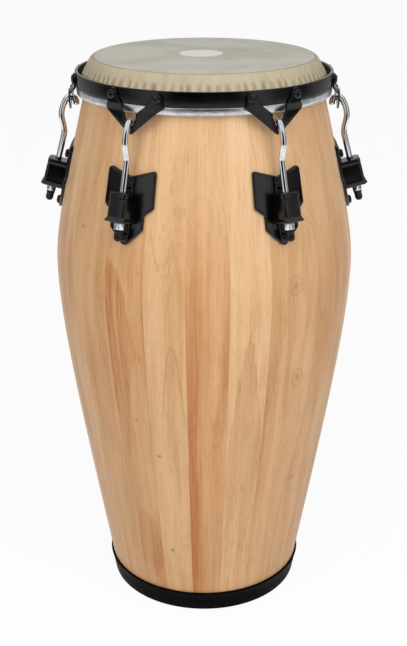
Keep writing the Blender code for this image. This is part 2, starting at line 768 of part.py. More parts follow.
def make_housing_mesh():
    """The housing that the rod passes through: collar and groove on top, a flared lip below."""
    top = -HOUSING_TOP
    bottom = HOUSING_BOTTOM
    groove = top + HOUSING_COLLAR
    lip = bottom - HOUSING_LIP_HEIGHT
    stations = [
        (top, -HOUSING_GROOVE),
        (top + HOUSING_GROOVE, 0),
        (groove, 0),
        (groove + HOUSING_GROOVE_WIDTH / 2, -HOUSING_GROOVE),
        (groove + HOUSING_GROOVE_WIDTH, 0),
        (lip, 0),
        (bottom - HOUSING_LIP_EDGE, HOUSING_LIP),
        (bottom, HOUSING_LIP - HOUSING_GROOVE),
    ]
    return lofted("housing", [housing_ring(along, outset) for along, outset in stations])


def make_bracket_mesh():
    """A lug bracket: a plate with two recessed wings and a spine, and the housing, in one casting."""
    strips = spread(WING_HALF_WIDTH, 0.018)
    rows = [BRACKET_HEIGHT + h for h in (-TAIL_TAPER, -TAIL_SHOULDER, WING_NOTCH / 2)]
    bm, planes = sheet(plate_outline(), PLATE_THICKNESS, strips, rows)
    spine = SPINE_WIDTH / 2 - PLATE_BORDER
    for side in (spine, -spine):
        geom = bm.verts[:] + bm.edges[:] + bm.faces[:]
        bmesh.ops.bisect_plane(bm, geom=geom, dist=1e-6, plane_co=(0, side, 0), plane_no=(0, 1, 0))
    wings = [f for f in bm.faces if f.normal.x > 0.9 and abs(f.calc_center_median().y) > spine]
    bmesh.ops.inset_individual(bm, faces=wings, thickness=PLATE_BORDER, depth=-PLATE_RECESS, use_even_offset=True)
    bend(bm, planes, plate_radius)
    bracket = tool("bracket_blank", mesh_from(bm, "bracket_blank"))
    combine(bracket, tool("housing", make_housing_mesh()), "UNION")

    bm = bmesh.new()
    frame = Matrix.Translation((axis_point(0)[0], 0, axis_point(0)[1])) @ Matrix.Rotation(-TILT, 4, "Y")
    bore = ROD_RADIUS + BORE_CLEARANCE
    bmesh.ops.create_cone(
        bm, cap_ends=True, segments=ROUND_HOLE_SIDES, radius1=bore, radius2=bore,
        depth=2 * (HOUSING_TOP + HOUSING_BOTTOM), matrix=frame,
    )
    combine(bracket, tool("rod_bore", mesh_from(bm, "rod_bore")), "DIFFERENCE")
    bm = bmesh.new()
    hole = BOLT_SHANK + HOLE_CLEARANCE
    for height in bolt_heights():
        bmesh.ops.create_cone(
            bm, cap_ends=True, segments=BOLT_SIDES, radius1=hole, radius2=hole,
            depth=4 * PLATE_THICKNESS, matrix=bolt_matrix(height, 0),
        )
    combine(bracket, tool("bolt_holes", mesh_from(bm, "bolt_holes")), "DIFFERENCE")
    return settled(bracket, "lug_bracket")


def make_bolt_mesh():
    """A bracket bolt: domed head, shank through plate and shell, washer and nut inside."""
    seat = SEAT_GAP + PLATE_THICKNESS + SEAT_GAP
    facet_dip = BOLT_WASHER * math.tan(math.pi / ROUND_SIDES)
    inside = -SHELL_WALL - BOLT_WASHER_GAP - facet_dip
    nut = inside - BOLT_WASHER_THICKNESS
    end = nut - BOLT_NUT_HEIGHT
    profile = [
        (0, end), (BOLT_NUT, end), (BOLT_NUT, nut), (BOLT_WASHER, nut), (BOLT_WASHER, inside),
        (BOLT_SHANK, inside), (BOLT_SHANK, seat), (BOLT_HEAD, seat),
        *dome(BOLT_HEAD, BOLT_HEAD_HEIGHT, seat),
    ]
    return turned("bracket_bolt", profile, BOLT_SIDES)


def make_lugs():
    """Six lugs: yoke and rivets on the rim, rod with its cap, nut, and bracket with its bolts."""
    yoke = make_yoke_mesh()
    rivet = turned("yoke_rivet", rivet_profile(0), RIVET_SIDES)
    rod = swept("tension_rod", hook_path(), ROD_RADIUS, ROD_SIDES)
    nut = make_nut_mesh()
    cap = make_cap_mesh()
    bracket = make_bracket_mesh()
    bolt = make_bolt_mesh()
    middle = axis_point(0)
    for i, turn in enumerate(bearings(), start=1):
        lug = guide(f"lug_{i}", rotation=(0, 0, turn))
        axis = guide(f"rod_axis_{i}", lug, (middle[0], 0, middle[1]), (0, -TILT, 0))
        place(f"hook_yoke_{i}", yoke, "black_steel", lug)
        for side, mark in ((1, "a"), (-1, "b")):
            piece = place(f"yoke_rivet_{i}{mark}", rivet, "black_steel", lug)
            piece.matrix_basis = rivet_matrix(0, side)
        place(f"tension_rod_{i}", rod, "chrome", axis)
        place(f"tension_nut_{i}", nut, "chrome", axis, (0, 0, -nut_top()))
        place(f"rod_cap_{i}", cap, "black_rubber", axis, (0, 0, -cap_top()))
        place(f"lug_bracket_{i}", bracket, "black_casting", lug)
        for height, mark in zip(bolt_heights(), ("upper", "lower")):
            piece = place(f"bracket_bolt_{i}_{mark}", bolt, "black_steel", lug)
            piece.matrix_basis = bolt_matrix(height, 0)


def main():
    """Builds the drum in an empty scene."""
    for obj in list(bpy.data.objects):
        bpy.data.objects.remove(obj, do_unlink=True)
    make_shell()
    make_base_ring()
    make_head()
    make_counter_hoop()
    make_flesh_hoop()
    make_lugs()
    bpy.context.view_layer.update()


main()
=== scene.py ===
"""Looks of a conga drum: staved shell, tucked skin, black rim, V-yokes, hooked rods and cast brackets.

Lengths are in metres, +Z is up and the drum's front faces -Y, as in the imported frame.
"""

from __future__ import annotations

import logging
import math
from dataclasses import dataclass, field
from enum import Enum

import bmesh
import bpy
from mathutils import Matrix, Vector, noise


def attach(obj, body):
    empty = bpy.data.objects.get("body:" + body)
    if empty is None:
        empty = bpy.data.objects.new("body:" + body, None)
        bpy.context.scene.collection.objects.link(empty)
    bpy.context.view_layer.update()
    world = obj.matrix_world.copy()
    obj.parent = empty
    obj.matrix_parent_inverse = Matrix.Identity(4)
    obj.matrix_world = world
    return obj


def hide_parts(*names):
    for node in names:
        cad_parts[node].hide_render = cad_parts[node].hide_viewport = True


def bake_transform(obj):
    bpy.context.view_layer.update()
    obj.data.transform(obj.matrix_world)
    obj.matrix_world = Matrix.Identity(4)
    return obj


Point = tuple[float, float]
Colour = tuple[float, float, float]
Socket = bpy.types.NodeSocket
Value = Socket | float | tuple

log = logging.getLogger("conga")
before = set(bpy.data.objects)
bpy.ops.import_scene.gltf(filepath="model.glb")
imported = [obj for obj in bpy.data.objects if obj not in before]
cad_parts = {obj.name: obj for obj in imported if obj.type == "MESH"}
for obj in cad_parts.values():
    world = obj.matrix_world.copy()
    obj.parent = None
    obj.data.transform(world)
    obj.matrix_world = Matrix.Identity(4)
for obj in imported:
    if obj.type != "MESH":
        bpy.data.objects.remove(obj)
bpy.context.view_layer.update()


class Body(Enum):
    """Moving bodies of the drum; rods and nuts add their number."""

    SHELL = "shell"
    RIM = "rim"
    ROD = "rod_"
    NUT = "nut_"


class BoltPlace(Enum):
    """The two bolts of a bracket, with each one's height over the bracket's middle."""

    UPPER = 0.0245
    LOWER = -0.0385


def srgb(red: float, green: float, blue: float) -> Colour:
    """Linear values of a colour given as it is seen, 0 to 255."""
    shares = (red / 255, green / 255, blue / 255)
    return tuple(s / 12.92 if s <= 0.04045 else ((s + 0.055) / 1.055) ** 2.4 for s in shares)


def arc(centre: Point, radius: float, start: float, end: float, steps: int) -> list[Point]:
    """Points of an arc.

    Args:
        centre: The arc's centre.
        radius: Its radius.
        start: Where it starts, in degrees.
        end: Where it ends, in degrees.
        steps: How many stretches it has.

    Returns:
        The points, both ends included.
    """
    turns = (math.radians(start + (end - start) * i / steps) for i in range(steps + 1))
    return [(centre[0] + radius * math.cos(a), centre[1] + radius * math.sin(a)) for a in turns]


def cubic(start: Point, leave: Point, arrive: Point, end: Point, steps: int) -> list[Point]:
    """Points along a cubic curve.

    Args:
        start: First end.
        leave: Handle of the first end.
        arrive: Handle of the last end.
        end: Last end.
        steps: How many stretches the curve has.

    Returns:
        The points, both ends included.
    """
    made = []
    for i in range(steps + 1):
        t = i / steps
        weights = ((1 - t) ** 3, 3 * t * (1 - t) ** 2, 3 * t * t * (1 - t), t**3)
        made.append(
            tuple(sum(w * p[k] for w, p in zip(weights, (start, leave, arrive, end))) for k in (0, 1))
        )
    return made


def tangent_point(point: Point, centre: Point, radius: float, side: int) -> Point:
    """Where a line from a point touches a circle.

    Args:
        point: Where the line starts.
        centre: The circle's centre.
        radius: The circle's radius.
        side: Which of the two lines, +1 or -1.

    Returns:
        The touching point.
    """
    to_centre = Vector(centre) - Vector(point)
    reach = math.sqrt(to_centre.length_squared - radius**2)
    turn = side * math.asin(radius / to_centre.length)
    return tuple(Vector(point) + (to_centre.normalized() * reach) @ Matrix.Rotation(-turn, 2))


def rounded(corners: list[tuple[float, float, float]], steps: int) -> list[Point]:
    """An outline with its corners rounded.

    Args:
        corners: Each corner and its radius.
        steps: Stretches of each rounded corner.

    Returns:
        The outline's points.
    """
    outline: list[Point] = []
    for i, (v, w, radius) in enumerate(corners):
        here = Vector((v, w))
        back = (Vector(corners[i - 1][:2]) - here).normalized()
        ahead = (Vector(corners[(i + 1) % len(corners)][:2]) - here).normalized()
        half = back.angle(ahead) / 2
        if radius == 0:
            outline.append((v, w))
            continue
        centre = here + (back + ahead).normalized() * radius / math.sin(half)
        start = here + back * radius / math.tan(half) - centre
        sweep = start.angle_signed(here + ahead * radius / math.tan(half) - centre)
        for k in range(steps + 1):
            outline.append(tuple(centre + start @ Matrix.Rotation(sweep * k / steps, 2)))
    return outline


@dataclass(frozen=True)
class Layout:
    """Sizes that several sub-assemblies share, the same as in the frame."""

    height: float = 0.762
    gap: float = 0.0003
    wall: float = 0.0115
    foot: Point = (0.1325, 0.0)
    foot_handle: Point = (0.17696, 0.260)
    belly: Point = (0.2008, 0.487)
    belly_down: float = 0.0836
    belly_up: float = 0.050
    mouth: Point = (0.1454, 0.7597)
    mouth_handle: Point = (0.18396, 0.5997)
    mouth_round: float = 0.009
    skin: float = 0.002
    skin_outer: float = 0.162
    band_inner: float = 0.163
    band_outer: float = 0.167
    band_bottom: float = 0.7257
    band_top: float = 0.7438
    bracket_height: float = 0.6055
    rod_standoff: float = 0.0172
    rod_tilt: float = math.radians(15.5)
    rod_radius: float = 0.004
    rim_travel: float = 0.006
    lugs: int = 6
    first_turn: float = -60.0

    def curve(self, steps: int) -> list[Point]:
        """Radius and height of the shell's outside, foot to mouth."""
        below = (self.belly[0], self.belly[1] - self.belly_down)
        above = (self.belly[0], self.belly[1] + self.belly_up)
        lower = cubic(self.foot, self.foot_handle, below, self.belly, steps)
        return lower + cubic(self.belly, above, self.mouth_handle, self.mouth, steps)[1:]

    def shell_radius(self, height: float) -> float:
        """Outer radius of the shell at a height."""
        points = self.curve(60)
        for (r0, h0), (r1, h1) in zip(points, points[1:]):
            if height <= h1:
                return r0 + (r1 - r0) * (height - h0) / (h1 - h0)
        return points[-1][0]

    def shell_lean(self, height: float) -> float:
        """Angle of the shell's outside from upright, positive where it narrows upward."""
        step = 0.002
        return math.atan2(self.shell_radius(height - step) - self.shell_radius(height + step), 2 * step)

    def turns(self) -> list[float]:
        """Turn of each lug round the drum from +X, in radians."""
        return [math.radians(self.first_turn + 360 * i / self.lugs) for i in range(self.lugs)]

    def axis_point(self, along: float) -> Point:
        """Point of a rod's axis in its lug's plane, at a distance down from the bracket's middle."""
        middle = self.shell_radius(self.bracket_height) + self.rod_standoff
        return (
            middle + along * math.sin(self.rod_tilt),
            self.bracket_height - along * math.cos(self.rod_tilt),
        )

    def axis_frame(self, turn: float) -> Matrix:
        """Frame of a rod's straight stretch: +Z up along it, +X outward, its origin at the bracket."""
        middle = self.axis_point(0)
        return (
            Matrix.Rotation(turn, 4, "Z")
            @ Matrix.Translation((middle[0], 0, middle[1]))
            @ Matrix.Rotation(-self.rod_tilt, 4, "Y")
        )

    def band_frame(self, turn: float) -> Matrix:
        """Frame on the band's outer face at its middle height: +Z outward."""
        middle = (self.band_bottom + self.band_top) / 2
        return (
            Matrix.Rotation(turn, 4, "Z")
            @ Matrix.Translation((self.band_outer, 0, middle))
            @ Matrix.Rotation(math.pi / 2, 4, "Y")
        )

    def bolt_frame(self, turn: float, height: float) -> Matrix:
        """Frame on the shell's outside at a height: +Z outward, square to the shell."""
        lean = self.shell_lean(height)
        return (
            Matrix.Rotation(turn, 4, "Z")
            @ Matrix.Translation((self.shell_radius(height), 0, height))
            @ Matrix.Rotation(math.pi / 2 - lean, 4, "Y")
        )


LAYOUT = Layout()


class NodeTree:
    """The node tree of a material or of the world, with short calls for the nodes that the looks use."""

    def __init__(self, owner: bpy.types.Material | bpy.types.World, place: str) -> None:
        """Starts the tree with its own coordinates.

        Args:
            owner: The material or world.
            place: Which output of the coordinates the looks read.
        """
        owner.use_nodes = True
        self.owner = owner
        self.nodes = owner.node_tree.nodes
        self.links = owner.node_tree.links
        self.shader = self.nodes.get("Principled BSDF")
        self.coords = self.nodes.new("ShaderNodeTexCoord").outputs[place]

    @classmethod
    def of_material(cls, name: str) -> NodeTree:
        """The tree of a new material."""
        return cls(bpy.data.materials.new(name), "Object")

    def put(self, socket: Socket, value: Value) -> None:
        """Links a socket to another or sets its value."""
        if isinstance(value, bpy.types.NodeSocket):
            self.links.new(value, socket)
        elif isinstance(value, tuple) and socket.type == "RGBA" and len(value) == 3:
            socket.default_value = (*value, 1)
        else:
            socket.default_value = value

    def math(self, operation: str, *values: Value) -> Socket:
        """One math node; each value is a number or a socket."""
        node = self.nodes.new("ShaderNodeMath")
        node.operation = operation
        for socket, value in zip(node.inputs, values):
            self.put(socket, value)
        return node.outputs[0]

    def total(self, first: Value, *rest: Value) -> Socket:
        """The sum of several values."""
        for value in rest:
            first = self.math("ADD", first, value)
        return first

    def product(self, first: Value, *rest: Value) -> Socket:
        """The product of several values."""
        for value in rest:
            first = self.math("MULTIPLY", first, value)
        return first

    def join(self, x: Value, y: Value, z: Value) -> Socket:
        """A vector of three values."""
        node = self.nodes.new("ShaderNodeCombineXYZ")
        for socket, value in zip(node.inputs, (x, y, z)):
            self.put(socket, value)
        return node.outputs[0]

    def split(self, vector: Socket) -> tuple[Socket, Socket, Socket]:
        """The three values of a vector or colour."""
        node = self.nodes.new("ShaderNodeSeparateXYZ")
        self.put(node.inputs[0], vector)
        return tuple(node.outputs)

    def random(self, value: Socket) -> tuple[Socket, Socket, Socket]:
        """Three random values, 0 to 1, for a whole number."""
        node = self.nodes.new("ShaderNodeTexWhiteNoise")
        node.noise_dimensions = "1D"
        self.put(node.inputs["W"], value)
        return self.split(node.outputs["Color"])

    def noise(self, vector: Socket, scale: float, detail: float = 3.0, rough: float = 0.5) -> Socket:
        """Smooth noise, 0 to 1."""
        node = self.nodes.new("ShaderNodeTexNoise")
        self.put(node.inputs["Vector"], vector)
        node.inputs["Scale"].default_value = scale
        node.inputs["Detail"].default_value = detail
        node.inputs["Roughness"].default_value = rough
        return node.outputs[0]

    def remap(self, value: Value, low: float, high: float, to_low: Value = 0.0, to_high: Value = 1.0) -> Socket:
        """A value mapped smoothly from one range to another, held at its ends."""
        node = self.nodes.new("ShaderNodeMapRange")
        node.interpolation_type = "SMOOTHSTEP"
        names = ("Value", "From Min", "From Max", "To Min", "To Max")
        for name, item in zip(names, (value, low, high, to_low, to_high)):
            self.put(node.inputs[name], item)
        return node.outputs[0]

    def window(self, value: Socket, sides: Point, soft: Point) -> Socket:
        """One between two sides and nought outside, each side with its own softness."""
        rise = self.remap(value, sides[0] - soft[0], sides[0] + soft[0])
        return self.product(rise, self.remap(value, sides[1] - soft[1], sides[1] + soft[1], 1.0, 0.0))

    def ramp(self, value: Socket, stops: tuple[tuple[float, Colour], ...], kind: str = "LINEAR") -> Socket:
        """A colour that runs through several stops."""
        node = self.nodes.new("ShaderNodeValToRGB")
        node.color_ramp.interpolation = kind
        self.put(node.inputs[0], value)
        elements = node.color_ramp.elements
        while len(elements) < len(stops):
            elements.new(1.0)
        for element, (position, colour) in zip(elements, stops):
            element.position = position
            element.color = (*colour, 1)
        return node.outputs[0]

    def mix(self, share: Value, first: Value, second: Value, blend: str = "MIX") -> Socket:
        """Two colours mixed by a share."""
        node = self.nodes.new("ShaderNodeMix")
        node.data_type = "RGBA"
        node.blend_type = blend
        self.put(node.inputs[0], share)
        self.put(node.inputs[6], first)
        self.put(node.inputs[7], second)
        return node.outputs[2]

    def read(self, name: str) -> Socket:
        """The piece's own attribute of a name."""
        node = self.nodes.new("ShaderNodeAttribute")
        node.attribute_name = name
        return node.outputs["Fac"]

    def seen_by(self, *kinds: str) -> Socket:
        """One for rays of the named kinds and nought for others."""
        light = self.nodes.new("ShaderNodeLightPath")
        share: Value = 0.0
        for kind in kinds:
            share = self.math("MAXIMUM", share, light.outputs[f"Is {kind} Ray"])
        return share

    def surface(self, **sockets: Value) -> None:
        """Sets the shader's sockets by name, with underscores for spaces."""
        for name, value in sockets.items():
            self.put(self.shader.inputs[name.replace("_", " ")], value)

    def bump(self, height: Socket, distance: float, strength: float = 1.0) -> None:
        """Gives the surface a relief, its height in metres when the value runs from 0 to 1."""
        node = self.nodes.new("ShaderNodeBump")
        node.inputs["Strength"].default_value = strength
        node.inputs["Distance"].default_value = distance
        self.put(node.inputs["Height"], height)
        self.links.new(node.outputs[0], self.shader.inputs["Normal"])


@dataclass(frozen=True)
class Knot:
    """A small knot: its turn from the front in degrees, height, size, and how dark it and its ring are."""

    turn: float
    height: float
    size: float
    core: float
    ring: float = 0.0


@dataclass(frozen=True)
class Stain:
    """A warm streak up a stave: its sides in degrees, how soft they are, and its strength by height."""

    low: float
    high: float
    soft: tuple[float, float]
    levels: tuple[tuple[float, float], ...]


@dataclass(frozen=True)
class Arch:
    """An arch of the grain between two turns of the drum.

    Its peak is at a turn and a height. At drop below the peak it is half_width wide to each side;
    a negative drop opens it upward. Its line and the tone inside fade out over its length.
    """

    turn: float
    height: float
    half_width: float
    drop: float
    length: float
    line: float
    fill: float
    sides: Point
    power: float = 1.5


@dataclass(frozen=True)
class Flame:
    """A patch of figure on one stave.

    Each row is a height, the left and right edge in degrees from the front, and the strength there; the
    rows run upward. Thin lines follow the edges.
    """

    rows: tuple[tuple[float, float, float, float], ...]
    sides: Point
    line: float
    warm: bool = True


@dataclass(frozen=True)
class StaveWood:
    """Lacquered staves: a tone for each, plain-sawn figure, fine pores, warm heart streaks and pin knots, and a painted
    sheen that lightens them towards the top.
    """

    name: str = "stave_wood"
    first_joint: float = -6.6
    reach: float = 0.165
    tones: tuple[float, ...] = (
        0.50, 0.68, 0.38, 0.36, 0.26, 0.58, 0.30, 0.64, 0.50, 0.70, 0.30, 0.54,
        0.44, 0.66, 0.38, 0.60, 0.34, 0.62, 0.44, 0.34, 0.30, 0.25, 0.48,
    )
    tan: Colour = srgb(186, 136, 87)
    pale: Colour = srgb(217, 179, 136)
    light: Colour = srgb(236, 206, 168)
    # Not a wood tone: the paler colour of the painted sheen, mixed in towards the top.
    grain: Colour = (0.80, 0.72, 0.62)
    warmth: Colour = (0.76, 0.50, 0.30)
    pore: Colour = (0.74, 0.64, 0.52)
    knot: Colour = (0.42, 0.30, 0.20)
    knots: tuple[Knot, ...] = (
        Knot(-17.0, 0.105, 0.0036, 0.75),
        Knot(-19.5, 0.265, 0.0038, 0.75),
        Knot(-28.6, 0.316, 0.0032, 0.60),
        Knot(-52.8, 0.566, 0.0036, 0.60),
        Knot(4.8, 0.285, 0.0030, 0.35),
        Knot(34.8, 0.504, 0.0052, 0.42, 0.30),
        Knot(39.0, 0.372, 0.0050, 0.46, 0.34),
        Knot(45.4, 0.206, 0.0066, 0.40),
        Knot(118.0, 0.420, 0.0040, 0.55, 0.30),
        Knot(176.0, 0.240, 0.0034, 0.60),
        Knot(-121.0, 0.350, 0.0036, 0.55, 0.30),
    )
    stains: tuple[Stain, ...] = (
        Stain(-6.6, -0.6, (0.05, 1.3), ((0.0, 1.0), (0.17, 1.0), (0.26, 0.84), (0.40, 0.68), (0.55, 0.42), (0.70, 0.05))),
        Stain(-0.6, 9.05, (1.3, 0.08), ((0.0, 0.38), (0.20, 0.44), (0.30, 0.38), (0.48, 0.36), (0.58, 0.12), (0.70, 0.0))),
        Stain(24.7, 27.0, (0.08, 1.2), ((0.0, 0.30), (0.14, 0.24), (0.23, 0.42), (0.29, 0.04), (0.70, 0.0))),
        Stain(151.0, 158.0, (0.2, 2.0), ((0.0, 0.70), (0.30, 0.62), (0.55, 0.26), (0.70, 0.0))),
        Stain(-160.0, -154.0, (1.5, 0.2), ((0.0, 0.20), (0.30, 0.52), (0.60, 0.40), (0.74, 0.20))),
    )
    arches: tuple[Arch, ...] = (
        Arch(-12.0, 0.433, 0.0090, 0.040, 0.17, 0.75, 0.24, (-22.25, -6.6), 2.0),
        Arch(-15.0, 0.534, 0.0100, -0.018, 0.050, 0.60, 0.14, (-22.25, -6.6), 2.0),
        Arch(-14.2, 0.521, 0.0080, -0.016, 0.040, 0.55, 0.10, (-22.25, -6.6), 2.0),
        Arch(96.0, 0.520, 0.0170, 0.110, 0.34, 0.50, 0.30, (87.3, 103.0), 1.4),
        Arch(142.0, 0.380, 0.0150, 0.090, 0.30, 0.48, 0.26, (134.3, 149.9), 1.5),
        Arch(-98.0, 0.600, 0.0180, 0.120, 0.40, 0.50, 0.34, (-100.5, -84.9), 1.4),
        Arch(-140.0, 0.300, 0.0160, -0.080, 0.24, 0.45, 0.26, (-147.5, -131.8), 1.5),
    )
    flames: tuple[Flame, ...] = (
        Flame(
            ((0.245, -34.2, -33.8, 0.24), (0.273, -36.2, -33.1, 0.34), (0.320, -37.4, -32.3, 0.30),
             (0.368, -38.4, -30.0, 0.28), (0.400, -38.4, -27.4, 0.36), (0.423, -38.4, -26.9, 0.42),
             (0.462, -38.4, -28.2, 0.50), (0.502, -38.4, -30.4, 0.58), (0.526, -38.2, -33.1, 0.62),
             (0.538, -37.0, -35.8, 0.60)),
            (-37.9, -22.25), 0.35,
        ),
        Flame(
            ((0.046, -29.6, -29.2, 0.24), (0.056, -32.0, -27.0, 0.30), (0.072, -35.0, -23.2, 0.34),
             (0.100, -35.9, -22.4, 0.36), (0.131, -35.4, -23.8, 0.38), (0.158, -33.8, -27.0, 0.38),
             (0.171, -31.8, -31.2, 0.34)),
            (-37.9, -22.25), 0.60,
        ),
        Flame(
            ((0.060, -71.0, -66.0, 0.0), (0.400, -68.0, -62.0, 0.0), (0.450, -70.0, -57.0, 0.24),
             (0.500, -72.0, -57.5, 0.28), (0.560, -72.0, -61.0, 0.22), (0.600, -70.0, -64.0, 0.0)),
            (-84.9, -53.6), 0.25,
        ),
        Flame(
            ((0.100, 8.0, 25.5, 0.0), (0.200, 8.5, 25.2, 0.36), (0.273, 9.7, 24.6, 0.52), (0.320, 11.0, 23.2, 0.58),
             (0.360, 12.2, 21.4, 0.60), (0.400, 14.0, 19.9, 0.60), (0.431, 15.4, 18.5, 0.62),
             (0.448, 16.7, 17.1, 0.62)),
            (9.05, 24.7), 0.45, False,
        ),
        Flame(
            ((0.283, 24.0, 24.8, 0.0), (0.300, 24.0, 25.7, 0.30), (0.360, 24.0, 27.8, 0.34), (0.420, 24.0, 29.6, 0.30),
             (0.500, 24.0, 32.0, 0.18), (0.560, 24.0, 33.4, 0.0)),
            (24.7, 40.35), 0.9, False,
        ),
        Flame(
            ((0.430, 60.0, 66.0, 0.0), (0.462, 58.5, 68.0, 0.22), (0.500, 57.6, 69.0, 0.30), (0.540, 58.0, 68.6, 0.34),
             (0.563, 59.8, 67.0, 0.38), (0.574, 63.0, 63.6, 0.38)),
            (56.0, 71.6), 0.9, False,
        ),
        Flame(
            ((0.200, 160.0, 161.0, 0.0), (0.260, 157.0, 164.0, 0.40), (0.330, 156.0, 166.0, 0.50),
             (0.400, 158.0, 164.5, 0.54), (0.450, 161.0, 161.6, 0.50)),
            (150.0, 165.6), 0.5,
        ),
    )

    def build(self) -> bpy.types.Material:
        """The material."""
        tree = NodeTree.of_material(self.name)
        x, y, z = tree.split(tree.coords)
        angle = tree.math("ARCTAN2", x, tree.math("MULTIPLY", y, -1.0))
        radius = tree.math("SQRT", tree.total(tree.product(x, x), tree.product(y, y)))
        degree = tree.product(angle, 180 / math.pi)
        place = tree.product(tree.total(degree, -self.first_joint), len(self.tones) / 360)
        stave = tree.math("FLOORED_MODULO", tree.math("FLOOR", place), float(len(self.tones)))
        joint = tree.math("PINGPONG", place, 0.5)
        pick, shift, lean = tree.random(stave)
        tone, _, _ = tree.split(self._tone(tree, stave))
        sway = tree.noise(tree.join(tree.product(z, 6.0), stave, shift), 1.0, 2.0, 0.5)
        feather = tree.noise(tree.join(tree.product(angle, 95.0), tree.product(z, 5.0), stave), 1.0, 2.0, 0.6)
        grain_degree = tree.total(degree, tree.remap(sway, 0.2, 0.8, -0.8, 0.8))
        grain_height = tree.total(z, tree.remap(feather, 0.2, 0.8, -0.009, 0.009))
        push = tree.total(*(self._push(tree, degree, radius, z, knot) for knot in self.knots))
        across = tree.total(tree.product(grain_degree, self.reach * math.pi / 180), push)
        along = tree.total(z, tree.product(shift, 9.0))

        broad = tree.noise(tree.join(tree.product(across, 75.0), tree.product(along, 3.0), pick), 1.0, 3.0, 0.5)
        cloud = tree.noise(tree.join(tree.product(across, 26.0), tree.product(along, 7.0), shift), 1.0, 2.0, 0.5)
        streak = tree.noise(tree.join(tree.product(across, 420.0), tree.product(along, 9.0), pick), 1.0, 4.0, 0.6)
        pores = tree.noise(tree.join(tree.product(across, 1500.0), tree.product(along, 70.0), pick), 1.0, 1.0, 0.5)
        dash = tree.noise(tree.join(tree.product(across, 330.0), tree.product(along, 34.0), lean), 1.0, 2.0, 0.6)
        level = tree.total(
            tone, tree.remap(broad, 0.2, 0.8, -0.24, 0.24), tree.remap(streak, 0.2, 0.8, -0.13, 0.13),
            tree.remap(cloud, 0.25, 0.75, -0.17, 0.17),
        )
        colour = tree.mix(level, self.tan, self.pale)
        # Painted sheen: the staves are lightened from above the belly up towards the mouth, as by light off the
        # lacquer.
        colour = tree.mix(tree.remap(z, 0.46, 0.64, 0.0, 0.20), colour, self.light)

        rings = self._rings(tree, place, z, pick, lean, shift, push)
        plain = tree.total(
            *(self._arch(tree, grain_degree, degree, radius, grain_height, arch) for arch in self.arches),
            *(self._flame(tree, grain_degree, degree, grain_height, flame) for flame in self.flames if not flame.warm),
        )
        embers = tree.total(
            *(self._flame(tree, grain_degree, degree, grain_height, flame) for flame in self.flames if flame.warm)
        )
        embers = tree.product(embers, tree.remap(tree.total(streak, streak, broad), 1.2, 1.8, 1.35, 0.55))
        stained = tree.total(*(self._stain(tree, grain_degree, degree, z, stain) for stain in self.stains))
        stained = tree.product(stained, tree.remap(tree.total(streak, broad), 0.75, 1.2, 1.12, 0.72))
        colour = tree.mix(tree.product(rings, tree.remap(broad, 0.3, 0.65, 0.34, 0.06)), colour, self.grain, "MULTIPLY")
        colour = tree.mix(tree.math("MINIMUM", plain, 1.0), colour, self.grain, "MULTIPLY")
        colour = tree.mix(tree.math("MINIMUM", tree.total(stained, embers), 1.0), colour, self.warmth, "MULTIPLY")
        colour = tree.mix(tree.remap(pores, 0.58, 0.76, 0.0, 0.40), colour, self.pore, "MULTIPLY")
        dashes = tree.product(tree.remap(dash, 0.54, 0.68, 0.0, 0.60), tree.remap(cloud, 0.35, 0.6, 1.0, 0.40))
        colour = tree.mix(dashes, colour, self.grain, "MULTIPLY")
        glue = tree.remap(joint, 0.004, 0.016, 0.34, 0.0)
        colour = tree.mix(glue, colour, self.pore, "MULTIPLY")
        spots = tree.total(*(self._spot(tree, degree, radius, z, knot) for knot in self.knots))
        colour = tree.mix(tree.math("MINIMUM", spots, 1.0), colour, self.knot, "MULTIPLY")
        tree.surface(
            Base_Color=colour, Roughness=tree.remap(streak, 0.2, 0.8, 0.42, 0.52), Specular_IOR_Level=0.34,
            Coat_Weight=0.04, Coat_Roughness=0.22,
        )
        tree.bump(tree.total(tree.product(streak, 0.5), tree.product(pores, -0.3), tree.product(glue, -0.8)), 0.0001, 0.6)
        return tree.owner

    def _tone(self, tree: NodeTree, stave: Socket) -> Socket:
        """The tone of each stave, from the list."""
        count = len(self.tones)
        stops = tuple((i / count, (tone, tone, tone)) for i, tone in enumerate(self.tones))
        return tree.ramp(tree.product(tree.total(stave, 0.5), 1 / count), stops, "CONSTANT")

    def _rings(
        self, tree: NodeTree, place: Socket, z: Socket, pick: Socket, lean: Socket, shift: Socket, push: Socket
    ) -> Socket:
        """The growth rings of a plain-sawn board: its distance from a sloping pith, cut into thin lines."""
        inside = tree.total(tree.math("FRACT", place), -0.5, tree.remap(pick, 0.0, 1.0, -0.7, 0.7))
        aside = tree.total(tree.product(inside, 2 * math.pi * self.reach / len(self.tones)), push)
        wave = tree.noise(tree.join(tree.product(z, 5.0), shift, pick), 1.0, 2.0, 0.5)
        slope = tree.remap(lean, 0.0, 1.0, -0.05, 0.05)
        depth = tree.total(0.020, tree.product(tree.total(z, -0.35), slope), tree.remap(wave, 0.2, 0.8, -0.012, 0.012))
        far = tree.math("SQRT", tree.total(tree.product(aside, aside), tree.product(depth, depth)))
        fine = tree.noise(tree.join(tree.product(aside, 500.0), tree.product(z, 14.0), shift), 1.0, 2.0, 0.5)
        count = tree.total(tree.product(far, tree.remap(lean, 0.0, 1.0, 170.0, 300.0)), tree.remap(fine, 0.0, 1.0, -0.18, 0.18))
        part = tree.math("FRACT", count)
        return tree.product(tree.remap(part, 0.35, 0.86), tree.remap(part, 0.90, 1.0, 1.0, 0.0))

